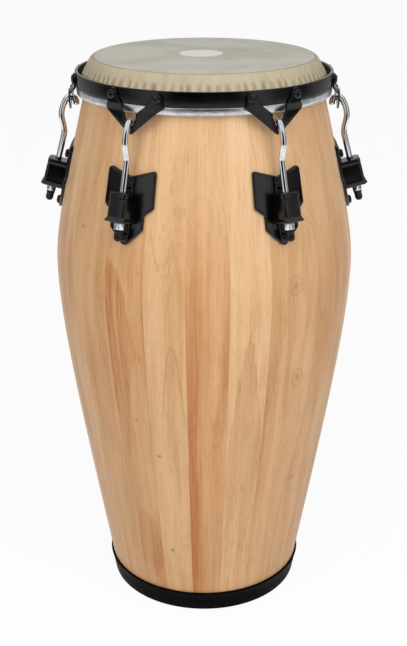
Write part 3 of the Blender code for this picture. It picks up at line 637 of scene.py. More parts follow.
    def _arch(self, tree: NodeTree, grain: Socket, degree: Socket, radius: Socket, height: Socket, arch: Arch) -> Socket:
        """Share of an arch's line and of the tone inside it."""
        off = tree.math("ABSOLUTE", tree.total(grain, -arch.turn))
        aside = tree.math("MAXIMUM", tree.product(off, radius, math.pi / 180), 0.0001)
        steep = abs(arch.drop) / arch.half_width**arch.power
        below = tree.product(tree.total(height, -arch.height), -math.copysign(1.0, arch.drop))
        inside = tree.total(below, tree.product(tree.math("POWER", aside, arch.power), -steep))
        slope = tree.product(tree.math("POWER", aside, arch.power - 1), steep * arch.power)
        away = tree.math("DIVIDE", inside, tree.math("SQRT", tree.total(tree.product(slope, slope), 1.0)))
        line = tree.remap(tree.math("ABSOLUTE", away), 0.0003, 0.0018, arch.line, 0.0)
        tone = tree.remap(away, -0.0006, 0.0012, 0.0, arch.fill)
        fade = tree.remap(below, 0.35 * arch.length, arch.length, 1.0, 0.0)
        return tree.product(tree.total(line, tone), fade, tree.window(degree, arch.sides, (0.06, 0.06)))

    def _flame(self, tree: NodeTree, grain: Socket, degree: Socket, height: Socket, flame: Flame) -> Socket:
        """Share of a flame's tone and of the lines along its edges."""
        stops = tuple((low, ((left + 180) / 360, (right + 180) / 360, share)) for low, left, right, share in flame.rows)
        left, right, share = tree.split(tree.ramp(height, stops, "CARDINAL"))
        from_left = tree.total(grain, 180.0, tree.product(left, -360.0))
        from_right = tree.total(tree.product(right, 360.0), -180.0, tree.product(grain, -1.0))
        inside = tree.math("MINIMUM", from_left, from_right)
        line = tree.product(tree.window(inside, (0.0, 0.4), (0.2, 0.2)), flame.line)
        tone = tree.remap(inside, -0.2, 0.5)
        ends = tree.window(height, (flame.rows[0][0], flame.rows[-1][0]), (0.003, 0.002))
        return tree.product(tree.total(tone, line), share, ends, tree.window(degree, flame.sides, (0.06, 0.06)))

    def _stain(self, tree: NodeTree, grain: Socket, degree: Socket, z: Socket, stain: Stain) -> Socket:
        """Share of a warm streak; a sharp side follows the joint and a soft one the grain."""
        left = tree.remap(grain if stain.soft[0] > 0.5 else degree, stain.low - stain.soft[0], stain.low + stain.soft[0])
        right = tree.remap(
            grain if stain.soft[1] > 0.5 else degree, stain.high - stain.soft[1], stain.high + stain.soft[1], 1.0, 0.0
        )
        stops = tuple((height, (share, share, share)) for height, share in stain.levels)
        level, _, _ = tree.split(tree.ramp(z, stops))
        return tree.product(left, right, level)

    def _off(self, tree: NodeTree, degree: Socket, radius: Socket, z: Socket, knot: Knot, stretch: float) -> Socket:
        """Distance from a knot in its own sizes, drawn out along the grain."""
        aside = tree.product(tree.total(degree, -knot.turn), radius, math.pi / 180 / knot.size)
        up = tree.product(tree.total(z, -knot.height), 1 / knot.size / stretch)
        return tree.math("SQRT", tree.total(tree.product(aside, aside), tree.product(up, up)))

    def _push(self, tree: NodeTree, degree: Socket, radius: Socket, z: Socket, knot: Knot) -> Socket:
        """How far the grain is pushed aside near a knot."""
        return tree.remap(self._off(tree, degree, radius, z, knot, 3.0), 0.0, 6.0, knot.size * 1.3, 0.0)

    def _spot(self, tree: NodeTree, degree: Socket, radius: Socket, z: Socket, knot: Knot) -> Socket:
        """Share of a knot's own colour: a soft core, and a ring where it has one."""
        off = self._off(tree, degree, radius, z, knot, 1.35 if knot.ring else 0.8)
        core = tree.remap(off, 0.0, 1.4, knot.core, 0.0)
        if not knot.ring:
            return core
        return tree.total(core, tree.product(tree.window(off, (1.5, 1.9), (0.4, 0.5)), knot.ring))


@dataclass(frozen=True)
class Hide:
    """A grey-cream skin, cloudy on top, yellower and pleated on its collar, with a plain pale disc; painted shade
    darkens the pleat valleys and a line along the bend, and a painted highlight lightens the pleated lower collar.
    """

    name: str = "hide"
    top: Colour = srgb(192, 188, 175)
    cloud: Colour = srgb(175, 172, 157)
    # Colour of random dark flecks, and of the painted shade line along the bend.
    fleck_and_bend_shade: Colour = srgb(124, 112, 92)
    collar: Colour = srgb(183, 170, 144)
    # Painted highlight for the pleated lower collar.
    pleat_ridge_highlight: Colour = srgb(190, 176, 149)
    # Painted shade of the pleats, in their valleys and in random vertical streaks.
    pleat_shade: Colour = srgb(134, 119, 93)
    disc: Colour = srgb(230, 230, 228)
    disc_centre: Point = (-0.004, 0.003)
    disc_radius: float = 0.0282
    bend: float = 0.1432

    def build(self) -> bpy.types.Material:
        """The material."""
        tree = NodeTree.of_material(self.name)
        x, y, z = tree.split(tree.coords)
        radius = tree.math("SQRT", tree.total(tree.product(x, x), tree.product(y, y)))
        angle = tree.math("ARCTAN2", x, tree.math("MULTIPLY", y, -1.0))
        cloud = tree.noise(tree.coords, 11.0, 5.0, 0.6)
        fleck = tree.noise(tree.coords, 240.0, 3.0, 0.6)
        colour = tree.mix(tree.remap(cloud, 0.35, 0.7), self.top, self.cloud)
        colour = tree.mix(tree.remap(fleck, 0.52, 0.75, 0.0, 0.14), colour, self.fleck_and_bend_shade)
        streak = tree.noise(tree.join(tree.product(angle, 30.0), tree.product(z, 30.0), 0.0), 1.0, 3.0, 0.5)
        # Random vertical streaks of painted pleat shade.
        collar = tree.mix(tree.remap(streak, 0.4, 0.75, 0.0, 0.28), self.collar, self.pleat_shade)
        # Painted highlight: the collar is lightened towards the band, where the pleats stand, so that their ridges look
        # lit.
        collar = tree.mix(tree.remap(z, LAYOUT.band_top, LAYOUT.height - 0.009, 0.7, 0.0), collar, self.pleat_ridge_highlight)
        # Painted shade in the pleat valleys, by the depth that each point of the skin stores.
        collar = tree.mix(tree.product(tree.read("pleat"), 0.84), collar, self.pleat_shade)
        colour = tree.mix(tree.remap(radius, self.bend - 0.0012, self.bend + 0.0012), colour, collar)
        # Painted shade: a dark line along the bend of the skin over the shell's rounded edge.
        line = tree.window(radius, (self.bend - 0.0006, self.bend + 0.0010), (0.0007, 0.0009))
        colour = tree.mix(tree.product(line, tree.remap(cloud, 0.3, 0.7, 0.5, 0.8)), colour, self.fleck_and_bend_shade)
        aside, ahead = tree.total(x, -self.disc_centre[0]), tree.total(y, -self.disc_centre[1])
        off = tree.math("SQRT", tree.total(tree.product(aside, aside), tree.product(ahead, ahead)))
        print_share = tree.product(
            tree.remap(off, self.disc_radius - 0.0004, self.disc_radius + 0.0004, 0.9, 0.0),
            tree.remap(fleck, 0.2, 0.5, 0.8, 1.0),
        )
        colour = tree.mix(print_share, colour, self.disc)
        tree.surface(
            Base_Color=colour, Roughness=tree.remap(cloud, 0.3, 0.7, 0.46, 0.58), Specular_IOR_Level=0.35,
            Subsurface_Weight=0.08, Subsurface_Radius=(0.004, 0.003, 0.002),
        )
        tree.bump(tree.total(tree.product(fleck, 0.4), tree.product(streak, 0.4)), 0.0002, 0.5)
        return tree.owner


@dataclass(frozen=True)
class CoatedMetal:
    """Black powder coat or paint: a little uneven in gloss, with fine orange peel and faint scuffs."""

    name: str
    colour: Colour
    roughness: float
    gloss: float
    grain: float
    relief: float
    scuff: Colour = srgb(34, 34, 36)

    def build(self) -> bpy.types.Material:
        """The material."""
        tree = NodeTree.of_material(self.name)
        fine = tree.noise(tree.coords, self.grain, 4.0, 0.6)
        broad = tree.noise(tree.coords, 30.0, 2.0, 0.5)
        x, y, z = tree.split(tree.coords)
        drawn = tree.noise(tree.join(tree.product(x, 900.0), tree.product(y, 900.0), tree.product(z, 120.0)), 1.0, 3.0, 0.6)
        lighter = tuple(min(1.0, c * 1.8 + 0.0006) for c in self.colour)
        colour = tree.mix(tree.remap(broad, 0.3, 0.8), self.colour, lighter)
        rubbed = tree.product(tree.remap(drawn, 0.62, 0.78), tree.remap(broad, 0.5, 0.7), 0.5)
        tree.surface(
            Base_Color=tree.mix(rubbed, colour, self.scuff),
            Roughness=tree.remap(tree.total(fine, broad), 0.6, 1.4, self.roughness - 0.05, self.roughness + 0.07),
            Specular_IOR_Level=self.gloss,
        )
        tree.bump(fine, self.relief, 0.5)
        return tree.owner


@dataclass(frozen=True)
class FootRubber:
    """Matt black rubber, dusty and lightly scuffed near the floor."""

    name: str = "foot_rubber"
    colour: Colour = srgb(4, 4, 5)
    dust: Colour = srgb(20, 19, 18)

    def build(self) -> bpy.types.Material:
        """The material."""
        tree = NodeTree.of_material(self.name)
        _, _, z = tree.split(tree.coords)
        fine = tree.noise(tree.coords, 900.0, 3.0, 0.6)
        blot = tree.noise(tree.coords, 55.0, 4.0, 0.6)
        low = tree.remap(z, 0.0, 0.02, 0.5, 0.1)
        tree.surface(
            Base_Color=tree.mix(tree.product(tree.remap(blot, 0.45, 0.75), low), self.colour, self.dust),
            Roughness=tree.remap(blot, 0.3, 0.7, 0.50, 0.62),
            Specular_IOR_Level=0.03,
        )
        tree.bump(fine, 0.00012, 0.5)
        return tree.owner


@dataclass(frozen=True)
class RolledSteel:
    """Bright rolled metal with streaks and soft waves along its ring."""

    name: str = "rolled_steel"
    colour: Colour = srgb(240, 241, 244)
    shade: Colour = srgb(206, 207, 211)

    def build(self) -> bpy.types.Material:
        """The material."""
        tree = NodeTree.of_material(self.name)
        x, y, z = tree.split(tree.coords)
        angle = tree.math("ARCTAN2", x, tree.math("MULTIPLY", y, -1.0))
        lines = tree.noise(tree.join(tree.product(angle, 2.0), tree.product(z, 2600.0), 0.0), 1.0, 4.0, 0.6)
        smear = tree.noise(tree.join(tree.product(angle, 14.0), tree.product(z, 160.0), 3.0), 1.0, 3.0, 0.5)
        wave = tree.noise(tree.join(tree.product(angle, 26.0), tree.product(z, 500.0), 7.0), 1.0, 1.0, 0.5)
        tree.surface(
            Base_Color=tree.mix(tree.remap(smear, 0.35, 0.7), self.colour, self.shade),
            Metallic=1.0,
            Roughness=tree.remap(lines, 0.2, 0.8, 0.22, 0.36),
        )
        tree.bump(tree.total(tree.product(lines, 0.15), wave), 0.00016, 0.5)
        return tree.owner


@dataclass(frozen=True)
class Chrome:
    """Polished chrome with faint handling marks."""

    name: str = "chrome"
    colour: Colour = srgb(232, 233, 235)
    shade: Colour = srgb(210, 211, 214)

    def build(self) -> bpy.types.Material:
        """The material."""
        tree = NodeTree.of_material(self.name)
        smear = tree.noise(tree.coords, 70.0, 4.0, 0.6)
        tree.surface(
            Base_Color=tree.mix(tree.remap(smear, 0.4, 0.7), self.colour, self.shade),
            Metallic=1.0,
            Roughness=tree.remap(smear, 0.35, 0.75, 0.06, 0.10),
        )
        return tree.owner


@dataclass
class Finishes:
    """The materials of the drum, made once."""

    wood: bpy.types.Material = field(default_factory=lambda: StaveWood().build())
    hide: bpy.types.Material = field(default_factory=lambda: Hide().build())
    rubber: bpy.types.Material = field(default_factory=lambda: FootRubber().build())
    steel: bpy.types.Material = field(default_factory=lambda: RolledSteel().build())
    chrome: bpy.types.Material = field(default_factory=lambda: Chrome().build())
    band: bpy.types.Material = field(
        default_factory=lambda: CoatedMetal("black_band", srgb(3, 3, 4), 0.17, 0.36, 1400.0, 0.00002).build()
    )
    casting: bpy.types.Material = field(
        default_factory=lambda: CoatedMetal("black_casting", srgb(4, 4, 5), 0.20, 0.50, 800.0, 0.00004).build()
    )
    cap: bpy.types.Material = field(
        default_factory=lambda: CoatedMetal("cap_plastic", srgb(7, 7, 7), 0.30, 0.30, 1000.0, 0.00003).build()
    )
    fastener: bpy.types.Material = field(
        default_factory=lambda: CoatedMetal("black_fastener", srgb(6, 6, 7), 0.24, 0.45, 1200.0, 0.00002).build()
    )


class Workpiece:
    """A mesh being shaped with bmesh operators."""

    def __init__(self) -> None:
        """Starts with an empty mesh."""
        self.bm = bmesh.new()

    def spin(self, profile: list[Point], steps: int, closed: bool = True) -> Workpiece:
        """Turns a profile of radius and height round the Z axis.

        Args:
            profile: The points; radius 0 ends on the axis.
            steps: Stretches of the full turn.
            closed: Whether the last point is joined to the first.

        Returns:
            The workpiece.
        """
        verts = [self.bm.verts.new((r, 0, h)) for r, h in profile]
        edges = [self.bm.edges.new(pair) for pair in zip(verts, verts[1:])]
        if closed and (profile[0][0] > 0 or profile[-1][0] > 0):
            edges.append(self.bm.edges.new((verts[-1], verts[0])))
        bmesh.ops.spin(
            self.bm, geom=verts + edges, cent=(0, 0, 0), axis=(0, 0, 1), dvec=(0, 0, 0), angle=math.tau,
            steps=steps, use_merge=True,
        )
        return self.tidy()

    def plate(self, outline: list[Point], thickness: float) -> list[bmesh.types.BMFace]:
        """A flat plate in the YZ plane, its thickness along +X.

        Args:
            outline: Its outline.
            thickness: Its thickness.

        Returns:
            The outer face, in a list.
        """
        face = self.bm.faces.new([self.bm.verts.new((0, v, w)) for v, w in outline])
        lifted = bmesh.ops.extrude_face_region(self.bm, geom=[face])["geom"]
        outer = [e for e in lifted if isinstance(e, bmesh.types.BMFace)]
        bmesh.ops.translate(self.bm, verts=outer[0].verts, vec=(thickness, 0, 0))
        bmesh.ops.recalc_face_normals(self.bm, faces=self.bm.faces)
        return outer

    def soften(self, edges: list[bmesh.types.BMEdge], offset: float, segments: int = 2) -> Workpiece:
        """Rounds edges with a small bevel."""
        bmesh.ops.bevel(
            self.bm, geom=edges, offset=offset, offset_type="OFFSET", segments=segments, profile=0.5,
            affect="EDGES", clamp_overlap=True, material=-1,
        )
        return self

    def cut(self, axis: int, places: list[float]) -> Workpiece:
        """Cuts all faces square to an axis, so that the plate can bend."""
        normal = [0.0, 0.0, 0.0]
        normal[axis] = 1.0
        for place in places:
            geom = self.bm.verts[:] + self.bm.edges[:] + self.bm.faces[:]
            point = [place * n for n in normal]
            bmesh.ops.bisect_plane(self.bm, geom=geom, dist=1e-6, plane_co=point, plane_no=normal)
        return self

    def wrap(self, surface) -> Workpiece:
        """Wraps a flat plate on a surface of revolution, given as a radius for each height."""
        for vert in self.bm.verts:
            depth, v, w = vert.co
            radius = surface(w) + depth
            turn = v / surface(w)
            vert.co = (radius * math.cos(turn), radius * math.sin(turn), w)
        return self

    def rings(self, loops: list[list[Vector]]) -> Workpiece:
        """Bridges a row of closed loops and closes both ends."""
        made = []
        for loop in loops:
            verts = [self.bm.verts.new(p) for p in loop]
            made.append([self.bm.edges.new(pair) for pair in zip(verts, verts[1:] + verts[:1])])
        for first, second in zip(made, made[1:]):
            bmesh.ops.bridge_loops(self.bm, edges=first + second)
        bmesh.ops.holes_fill(self.bm, edges=made[0] + made[-1], sides=0)
        return self.tidy()

    def tidy(self) -> Workpiece:
        """Merges doubles and turns all faces outward."""
        bmesh.ops.remove_doubles(self.bm, verts=self.bm.verts, dist=1e-6)
        bmesh.ops.recalc_face_normals(self.bm, faces=self.bm.faces)
        return self

    def moved(self, matrix: Matrix) -> Workpiece:
        """Moves the whole mesh."""
        bmesh.ops.transform(self.bm, matrix=matrix, verts=self.bm.verts)
        return self

    def copy(self) -> Workpiece:
        """A second workpiece of the same shape."""
        other = Workpiece()
        other.bm.free()
        other.bm = self.bm.copy()
        return other

    def made(self, name: str, material: bpy.types.Material, sharp: float = 35.0) -> bpy.types.Object:
        """Makes the object.

        Args:
            name: The object's name.
            material: Its finish.
            sharp: Angle in degrees over which an edge stays sharp.

        Returns:
            The object, at the origin.
        """
        mesh = bpy.data.meshes.new(name)
        self.bm.to_mesh(mesh)
        self.bm.free()
        mesh.shade_smooth()
        mesh.set_sharp_from_angle(angle=math.radians(sharp))
        mesh.materials.append(material)
        made = bpy.data.objects.new(name, mesh)
        bpy.context.scene.collection.objects.link(made)
        return made


def mount(piece: bpy.types.Object, body: str, nodes: list[str]) -> bpy.types.Object:
    """Lets a piece ride on its body in place of its CAD nodes.

    Args:
        piece: The piece.
        body: The body's name.
        nodes: The CAD nodes that it stands for.

    Returns:
        The piece.
    """
    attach(piece, body)
    if nodes:
        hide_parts(*nodes)
    log.info("%s: %d faces, rides on %s", piece.name, len(piece.data.polygons), body)
    return piece


@dataclass
class Barrel:
    """The stave shell and the rubber ring round its foot."""

    finishes: Finishes
    sides: int = 216
    rows: int = 44
    ring_wall: float = 0.0022
    ring_height: float = 0.030
    ring_floor: float = 0.003
    flange: float = 0.012
    bead: float = 0.0006

    def build(self) -> None:
        """Builds and dresses both pieces."""
        self.build_shell()
        self.build_ring()

    def build_shell(self) -> None:
        """The shell: outside, rounded mouth, and inside."""
        top = LAYOUT.mouth[1]
        shoulder = top - LAYOUT.mouth_round
        foot = self.ring_floor + LAYOUT.gap
        curve = [(r, h) for r, h in LAYOUT.curve(self.rows) if foot + 0.002 < h < shoulder - 0.004]
        outside = [(LAYOUT.shell_radius(foot), foot)] + curve
        edge = arc(
            (LAYOUT.shell_radius(shoulder) - LAYOUT.mouth_round, shoulder), LAYOUT.mouth_round, 0, 90, 10
        )
        inner = [(r - LAYOUT.wall / math.cos(LAYOUT.shell_lean(h)), h) for r, h in outside]
        mouth = inner[-1][0] - 0.0045
        chamfer = [(mouth + 0.002, top), (mouth, top - 0.004)]
        shell = Workpiece().spin(outside + edge + chamfer + inner[::-1], self.sides)
        mount(shell.made("stave_shell", self.finishes.wood), Body.SHELL.value, ["shell"])

    def build_ring(self) -> None:
        """The foot ring: rounded below, with a small bead along its top edge."""
        wall = LAYOUT.gap + self.ring_wall
        out = [LAYOUT.shell_radius(h) + wall for h in (0.0, self.ring_height)]
        inner = LAYOUT.shell_radius(self.ring_floor) - LAYOUT.wall - LAYOUT.gap
        bead_low = self.ring_height - 0.0032
        profile = arc((out[0] - 0.0014, 0.0014), 0.0014, -90, -5, 4)
        profile += [
            (out[0] + (out[1] - out[0]) * 0.5, self.ring_height * 0.5),
            (LAYOUT.shell_radius(bead_low) + wall, bead_low - 0.0006),
            (LAYOUT.shell_radius(bead_low) + wall + self.bead, bead_low + 0.0002),
        ]
        profile += arc((out[1] + self.bead - 0.0009, self.ring_height - 0.0009), 0.0009, 0, 90, 4)
        profile += [
            (out[1] - self.ring_wall, self.ring_height),
            (LAYOUT.shell_radius(self.ring_floor) + LAYOUT.gap, self.ring_floor),
            (inner, self.ring_floor),
            (inner + 0.0016, self.flange),
            (inner + 0.0016 - self.ring_wall, self.flange),
            (inner - self.ring_wall, 0.0008),
            (inner - self.ring_wall + 0.0008, 0.0),
        ]
        ring = Workpiece().spin(profile, self.sides)
        mount(ring.made("foot_ring", self.finishes.rubber), Body.SHELL.value, ["base_ring"])


@dataclass
class Rim:
    """The skin with its pleated collar, the black band and the bright channel under it."""

    finishes: Finishes
    sides: int = 216
    skin_sides: int = 840
    pleats: int = 84
    pleat_depth: float = 0.0018
    edge: float = 0.0009
    channel_height: float = 0.0102
    channel_out: float = 0.003

    def build(self) -> None:
        """Builds and dresses the three pieces."""
        self.build_skin()
        self.build_band()
        self.build_channel()

    def skin_profile(self) -> list[Point]:
        """The skin's outside and inside, from the axis to its tucked edge and back."""
        centre = (LAYOUT.shell_radius(LAYOUT.mouth[1] - LAYOUT.mouth_round) - LAYOUT.mouth_round,
                  LAYOUT.mouth[1] - LAYOUT.mouth_round)
        inner = LAYOUT.mouth_round + LAYOUT.gap
        outer = inner + LAYOUT.skin
        shoulder = LAYOUT.band_bottom + 0.006
        tuck = LAYOUT.band_bottom - LAYOUT.gap - self.channel_height + 0.0028
        leave = tangent_point((LAYOUT.skin_outer, shoulder), centre, outer, -1)
        lean = math.degrees(math.atan2(leave[1] - centre[1], leave[0] - centre[0]))
        top = [(0.0, LAYOUT.height)] + [(r, LAYOUT.height) for r in (0.02, 0.05, 0.09, 0.12, 0.13)]
        collar = [
            (leave[0] + (LAYOUT.skin_outer - leave[0]) * t, leave[1] + (shoulder - leave[1]) * t)
            for t in (i / 12 for i in range(1, 13))
        ]
        outside = top + arc(centre, outer, 90, lean, 8) + collar + [(LAYOUT.skin_outer, tuck)]
        lower = LAYOUT.skin * math.tan(math.radians(lean) / 2)
        inside = [(LAYOUT.skin_outer - LAYOUT.skin, tuck), (LAYOUT.skin_outer - LAYOUT.skin, shoulder - lower)]
        return outside + inside + arc(centre, inner, lean, 90, 6) + [(0.0, LAYOUT.height - LAYOUT.skin)]

    def build_skin(self) -> None:
        """The skin; its collar is gathered in shallow uneven pleats that deepen towards the band."""
        work = Workpiece().spin(self.skin_profile(), self.skin_sides)
        valley = work.bm.verts.layers.float.new("pleat")
        start, end = LAYOUT.height - 0.010, LAYOUT.band_top
        for vert in work.bm.verts:
            radius = math.hypot(vert.co.x, vert.co.y)
            if radius < 0.13 or vert.co.z > start:
                continue
            turn = math.atan2(vert.co.y, vert.co.x)
            around = Vector((math.cos(turn), math.sin(turn), 0))
            wander = noise.noise(around * 6) * 2.2 + noise.noise(around * 19) * 0.9
            strength = 0.82 + 0.60 * noise.noise(around * 11 + Vector((0, 0, 4)))
            rise = 0.12 + 0.40 * noise.noise(around * 23 + Vector((0, 0, 9)))
            drop = min(1.0, (start - vert.co.z) / (start - end))
            drop = max(0.0, (drop - rise) / (1 - rise))
            share = (0.5 - 0.5 * math.cos(self.pleats * turn + wander)) * max(0.1, strength) * drop * (2 - drop)
            # The pleat share is kept on each point; the hide paints shade into the valleys by it.
            vert[valley] = share
            for k in (0, 1):
                vert.co[k] *= 1 - self.pleat_depth * share / radius
        skin = work.made("skin", self.finishes.hide)
        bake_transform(skin)
        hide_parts("drum_head")
        log.info("%s: %d faces, bends from shell to rim", skin.name, len(skin.data.polygons))

    def build_band(self) -> None:
        """The flat black band with rounded edges."""
        low, high = LAYOUT.band_bottom, LAYOUT.band_top
        inner, outer = LAYOUT.band_inner, LAYOUT.band_outer
        e = self.edge
        profile = arc((outer - e, high - e), e, 0, 90, 4)
        profile += arc((inner + e, high - e), e, 90, 180, 4)
        profile += arc((inner + e, low + e), e, 180, 270, 4)
        profile += arc((outer - e, low + e), e, 270, 360, 4)
        band = Workpiece().spin(profile, self.sides)
        mount(band.made("band", self.finishes.band), Body.RIM.value, ["counter_hoop"])

    def build_channel(self) -> None:
        """The bright channel: rounded above, upright, then drawn in a little to a rolled lip."""
        top = LAYOUT.band_bottom - LAYOUT.gap
        low = top - self.channel_height
        outer = LAYOUT.band_inner + self.channel_out
        inner = LAYOUT.skin_outer - LAYOUT.skin - LAYOUT.gap
        edge, lip = 0.0022, 0.0009
        profile = arc((outer - edge, top - edge), edge, 90, 6, 6)
        profile += arc((outer - 0.024, top - 0.0046), 0.024, 0, -10, 5)
        profile += [(outer - 0.0010, low + 2 * lip + 0.0001)]
        profile += arc((outer - 0.0012, low + lip), lip, 60, -90, 6)
        profile += [(inner, low), (inner - 0.0014, low + 0.0006), (inner - 0.0014, top), (inner, top)]
        profile += [(inner, low + 0.0018), (outer - 0.003, low + 0.0018), (outer - 0.003, top)]
        ring = Workpiece().spin(profile, self.sides)
        mount(ring.made("bright_channel", self.finishes.steel), Body.RIM.value, ["flesh_hoop"])


@dataclass
class Yokes:
    """The V-yokes that the rods hook into, each held to the band by two button heads."""

    finishes: Finishes
    thickness: float = 0.0024
    set_out: float = 0.0067
    bend: float = 0.0078
    spread: float = 0.031
    boss: float = 0.008
    shoulder_drop: float = 0.0037
    arm_angle: float = 46.0
    hole: float = 0.0078
    hole_drop: float = 0.0125
    neck: float = 0.015
    slot: float = 0.0048
    slot_reach: float = 0.0115
    web: float = 0.0107
    tip_round: float = 0.004
    edge: float = 0.0006

    def radius(self, height: float) -> float:
        """Inner radius of a yoke at a height."""
        drop = min(max((LAYOUT.band_bottom - height) / self.bend, 0), 1)
        return LAYOUT.band_outer + LAYOUT.gap + self.set_out * drop * drop * (3 - 2 * drop)

    def places(self) -> tuple[float, float, float]:
        """Heights of the hole's centre, the web's top and the tip."""
        hole = LAYOUT.band_bottom - self.hole_drop
        return hole, hole - self.slot_reach, hole - self.slot_reach - self.web

    def outline(self) -> list[Point]:
        """Outline of a yoke: two bossed arms, the V between them and the keyhole for the hook."""
        hole, web, tip = self.places()
        neck_turn = math.degrees(math.acos(self.neck / 2 / self.hole))
        neck = (self.neck / 2, hole + self.hole * math.sin(math.radians(neck_turn)))
        boss = (self.spread, (LAYOUT.band_bottom + LAYOUT.band_top) / 2)
        climb = Vector((math.cos(math.radians(self.arm_angle)), math.sin(math.radians(self.arm_angle))))
        to_boss = Vector(boss) - Vector(neck)
        nearest = to_boss.dot(climb)
        off = to_boss.length_squared - nearest**2
        meet = Vector(neck) + climb * (nearest - math.sqrt(max(self.boss**2 - off, 0)))
        meet_turn = math.degrees(math.atan2(meet[1] - boss[1], meet[0] - boss[0])) % 360
        shoulder = (self.spread + self.boss, LAYOUT.band_bottom - self.shoulder_drop)
        tip_centre = (0.0, tip + self.tip_round)
        foot = tangent_point(shoulder, tip_centre, self.tip_round, 1)
        foot_turn = math.degrees(math.atan2(foot[1] - tip_centre[1], foot[0]))
        right = arc(boss, self.boss, 0, meet_turn, 18)
        left = [(-v, w) for v, w in reversed(right)]
        slot_turn = math.degrees(math.acos(self.slot / self.hole))
        hole_right = arc((0, hole), self.hole, neck_turn, -slot_turn, 12)
        hole_left = [(-v, w) for v, w in reversed(hole_right)]
        slot = arc((0, web + self.slot), self.slot, 0, -180, 16)
        bottom = arc(tip_centre, self.tip_round, 180 - foot_turn, 360 + foot_turn, 8)
        return [shoulder, *right, *hole_right, *slot, *hole_left, *left, (-shoulder[0], shoulder[1]), *bottom]

    def build(self) -> None:
        """Builds one yoke and one head and sets them round the band."""
        work = Workpiece()
        outer = work.plate(self.outline(), self.thickness)
        work.soften(list(outer[0].edges), self.edge, 3)
        half = self.spread + self.boss
        work.cut(1, [half * i / 24 for i in range(-23, 24)])
        work.cut(2, [LAYOUT.band_bottom - self.bend * i / 8 for i in range(9)])
        work.wrap(self.radius).tidy()
        head = button_head(0.006, 0.003, 0.0017)
        for i, turn in enumerate(LAYOUT.turns(), start=1):
            piece = work.copy().moved(Matrix.Rotation(turn, 4, "Z")).made(f"yoke_{i}", self.finishes.band)
            mount(piece, Body.RIM.value, [f"hook_yoke_{i}"])
            for side, mark in ((1, "a"), (-1, "b")):
                aside = turn + side * self.spread / (LAYOUT.band_outer + LAYOUT.gap)
                seat = Matrix.Translation((0, 0, self.thickness + LAYOUT.gap))
                placed = head.copy().moved(LAYOUT.band_frame(aside) @ seat)
                rivet = placed.made(f"button_{i}{mark}", self.finishes.fastener)
                mount(rivet, Body.RIM.value, [f"yoke_rivet_{i}{mark}"])


def button_head(radius: float, height: float, socket: float) -> Workpiece:
    """A button head with a six-sided socket, its seat on the XY plane.

    Args:
        radius: Radius of the head.
        height: Its height.
        socket: Half the width across the socket's flats.

    Returns:
        The workpiece.
    """
    dome = [(radius * math.cos(a), 0.0006 + (height - 0.0006) * math.sin(a)) for a in
            (math.radians(d) for d in range(0, 66, 11))]
    corner = socket / math.cos(math.pi / 6)
    brim = (corner + 0.0003, dome[-1][1])
    profile = [(0.0, 0.0), (radius - 0.0003, 0.0), *dome, brim, (corner, brim[1] - 0.0003)]
    profile += [(corner, brim[1] - 0.0019), (0.0, brim[1] - 0.0024)]
    work = Workpiece().spin(profile, 36)
    for vert in work.bm.verts:
        reach = math.hypot(vert.co.x, vert.co.y)
        if 0 < reach < corner + 1e-5:
            turn = math.atan2(vert.co.y, vert.co.x) % (math.pi / 3)
            vert.co.x *= socket / math.cos(turn - math.pi / 6) / reach
            vert.co.y *= socket / math.cos(turn - math.pi / 6) / reach
    return work


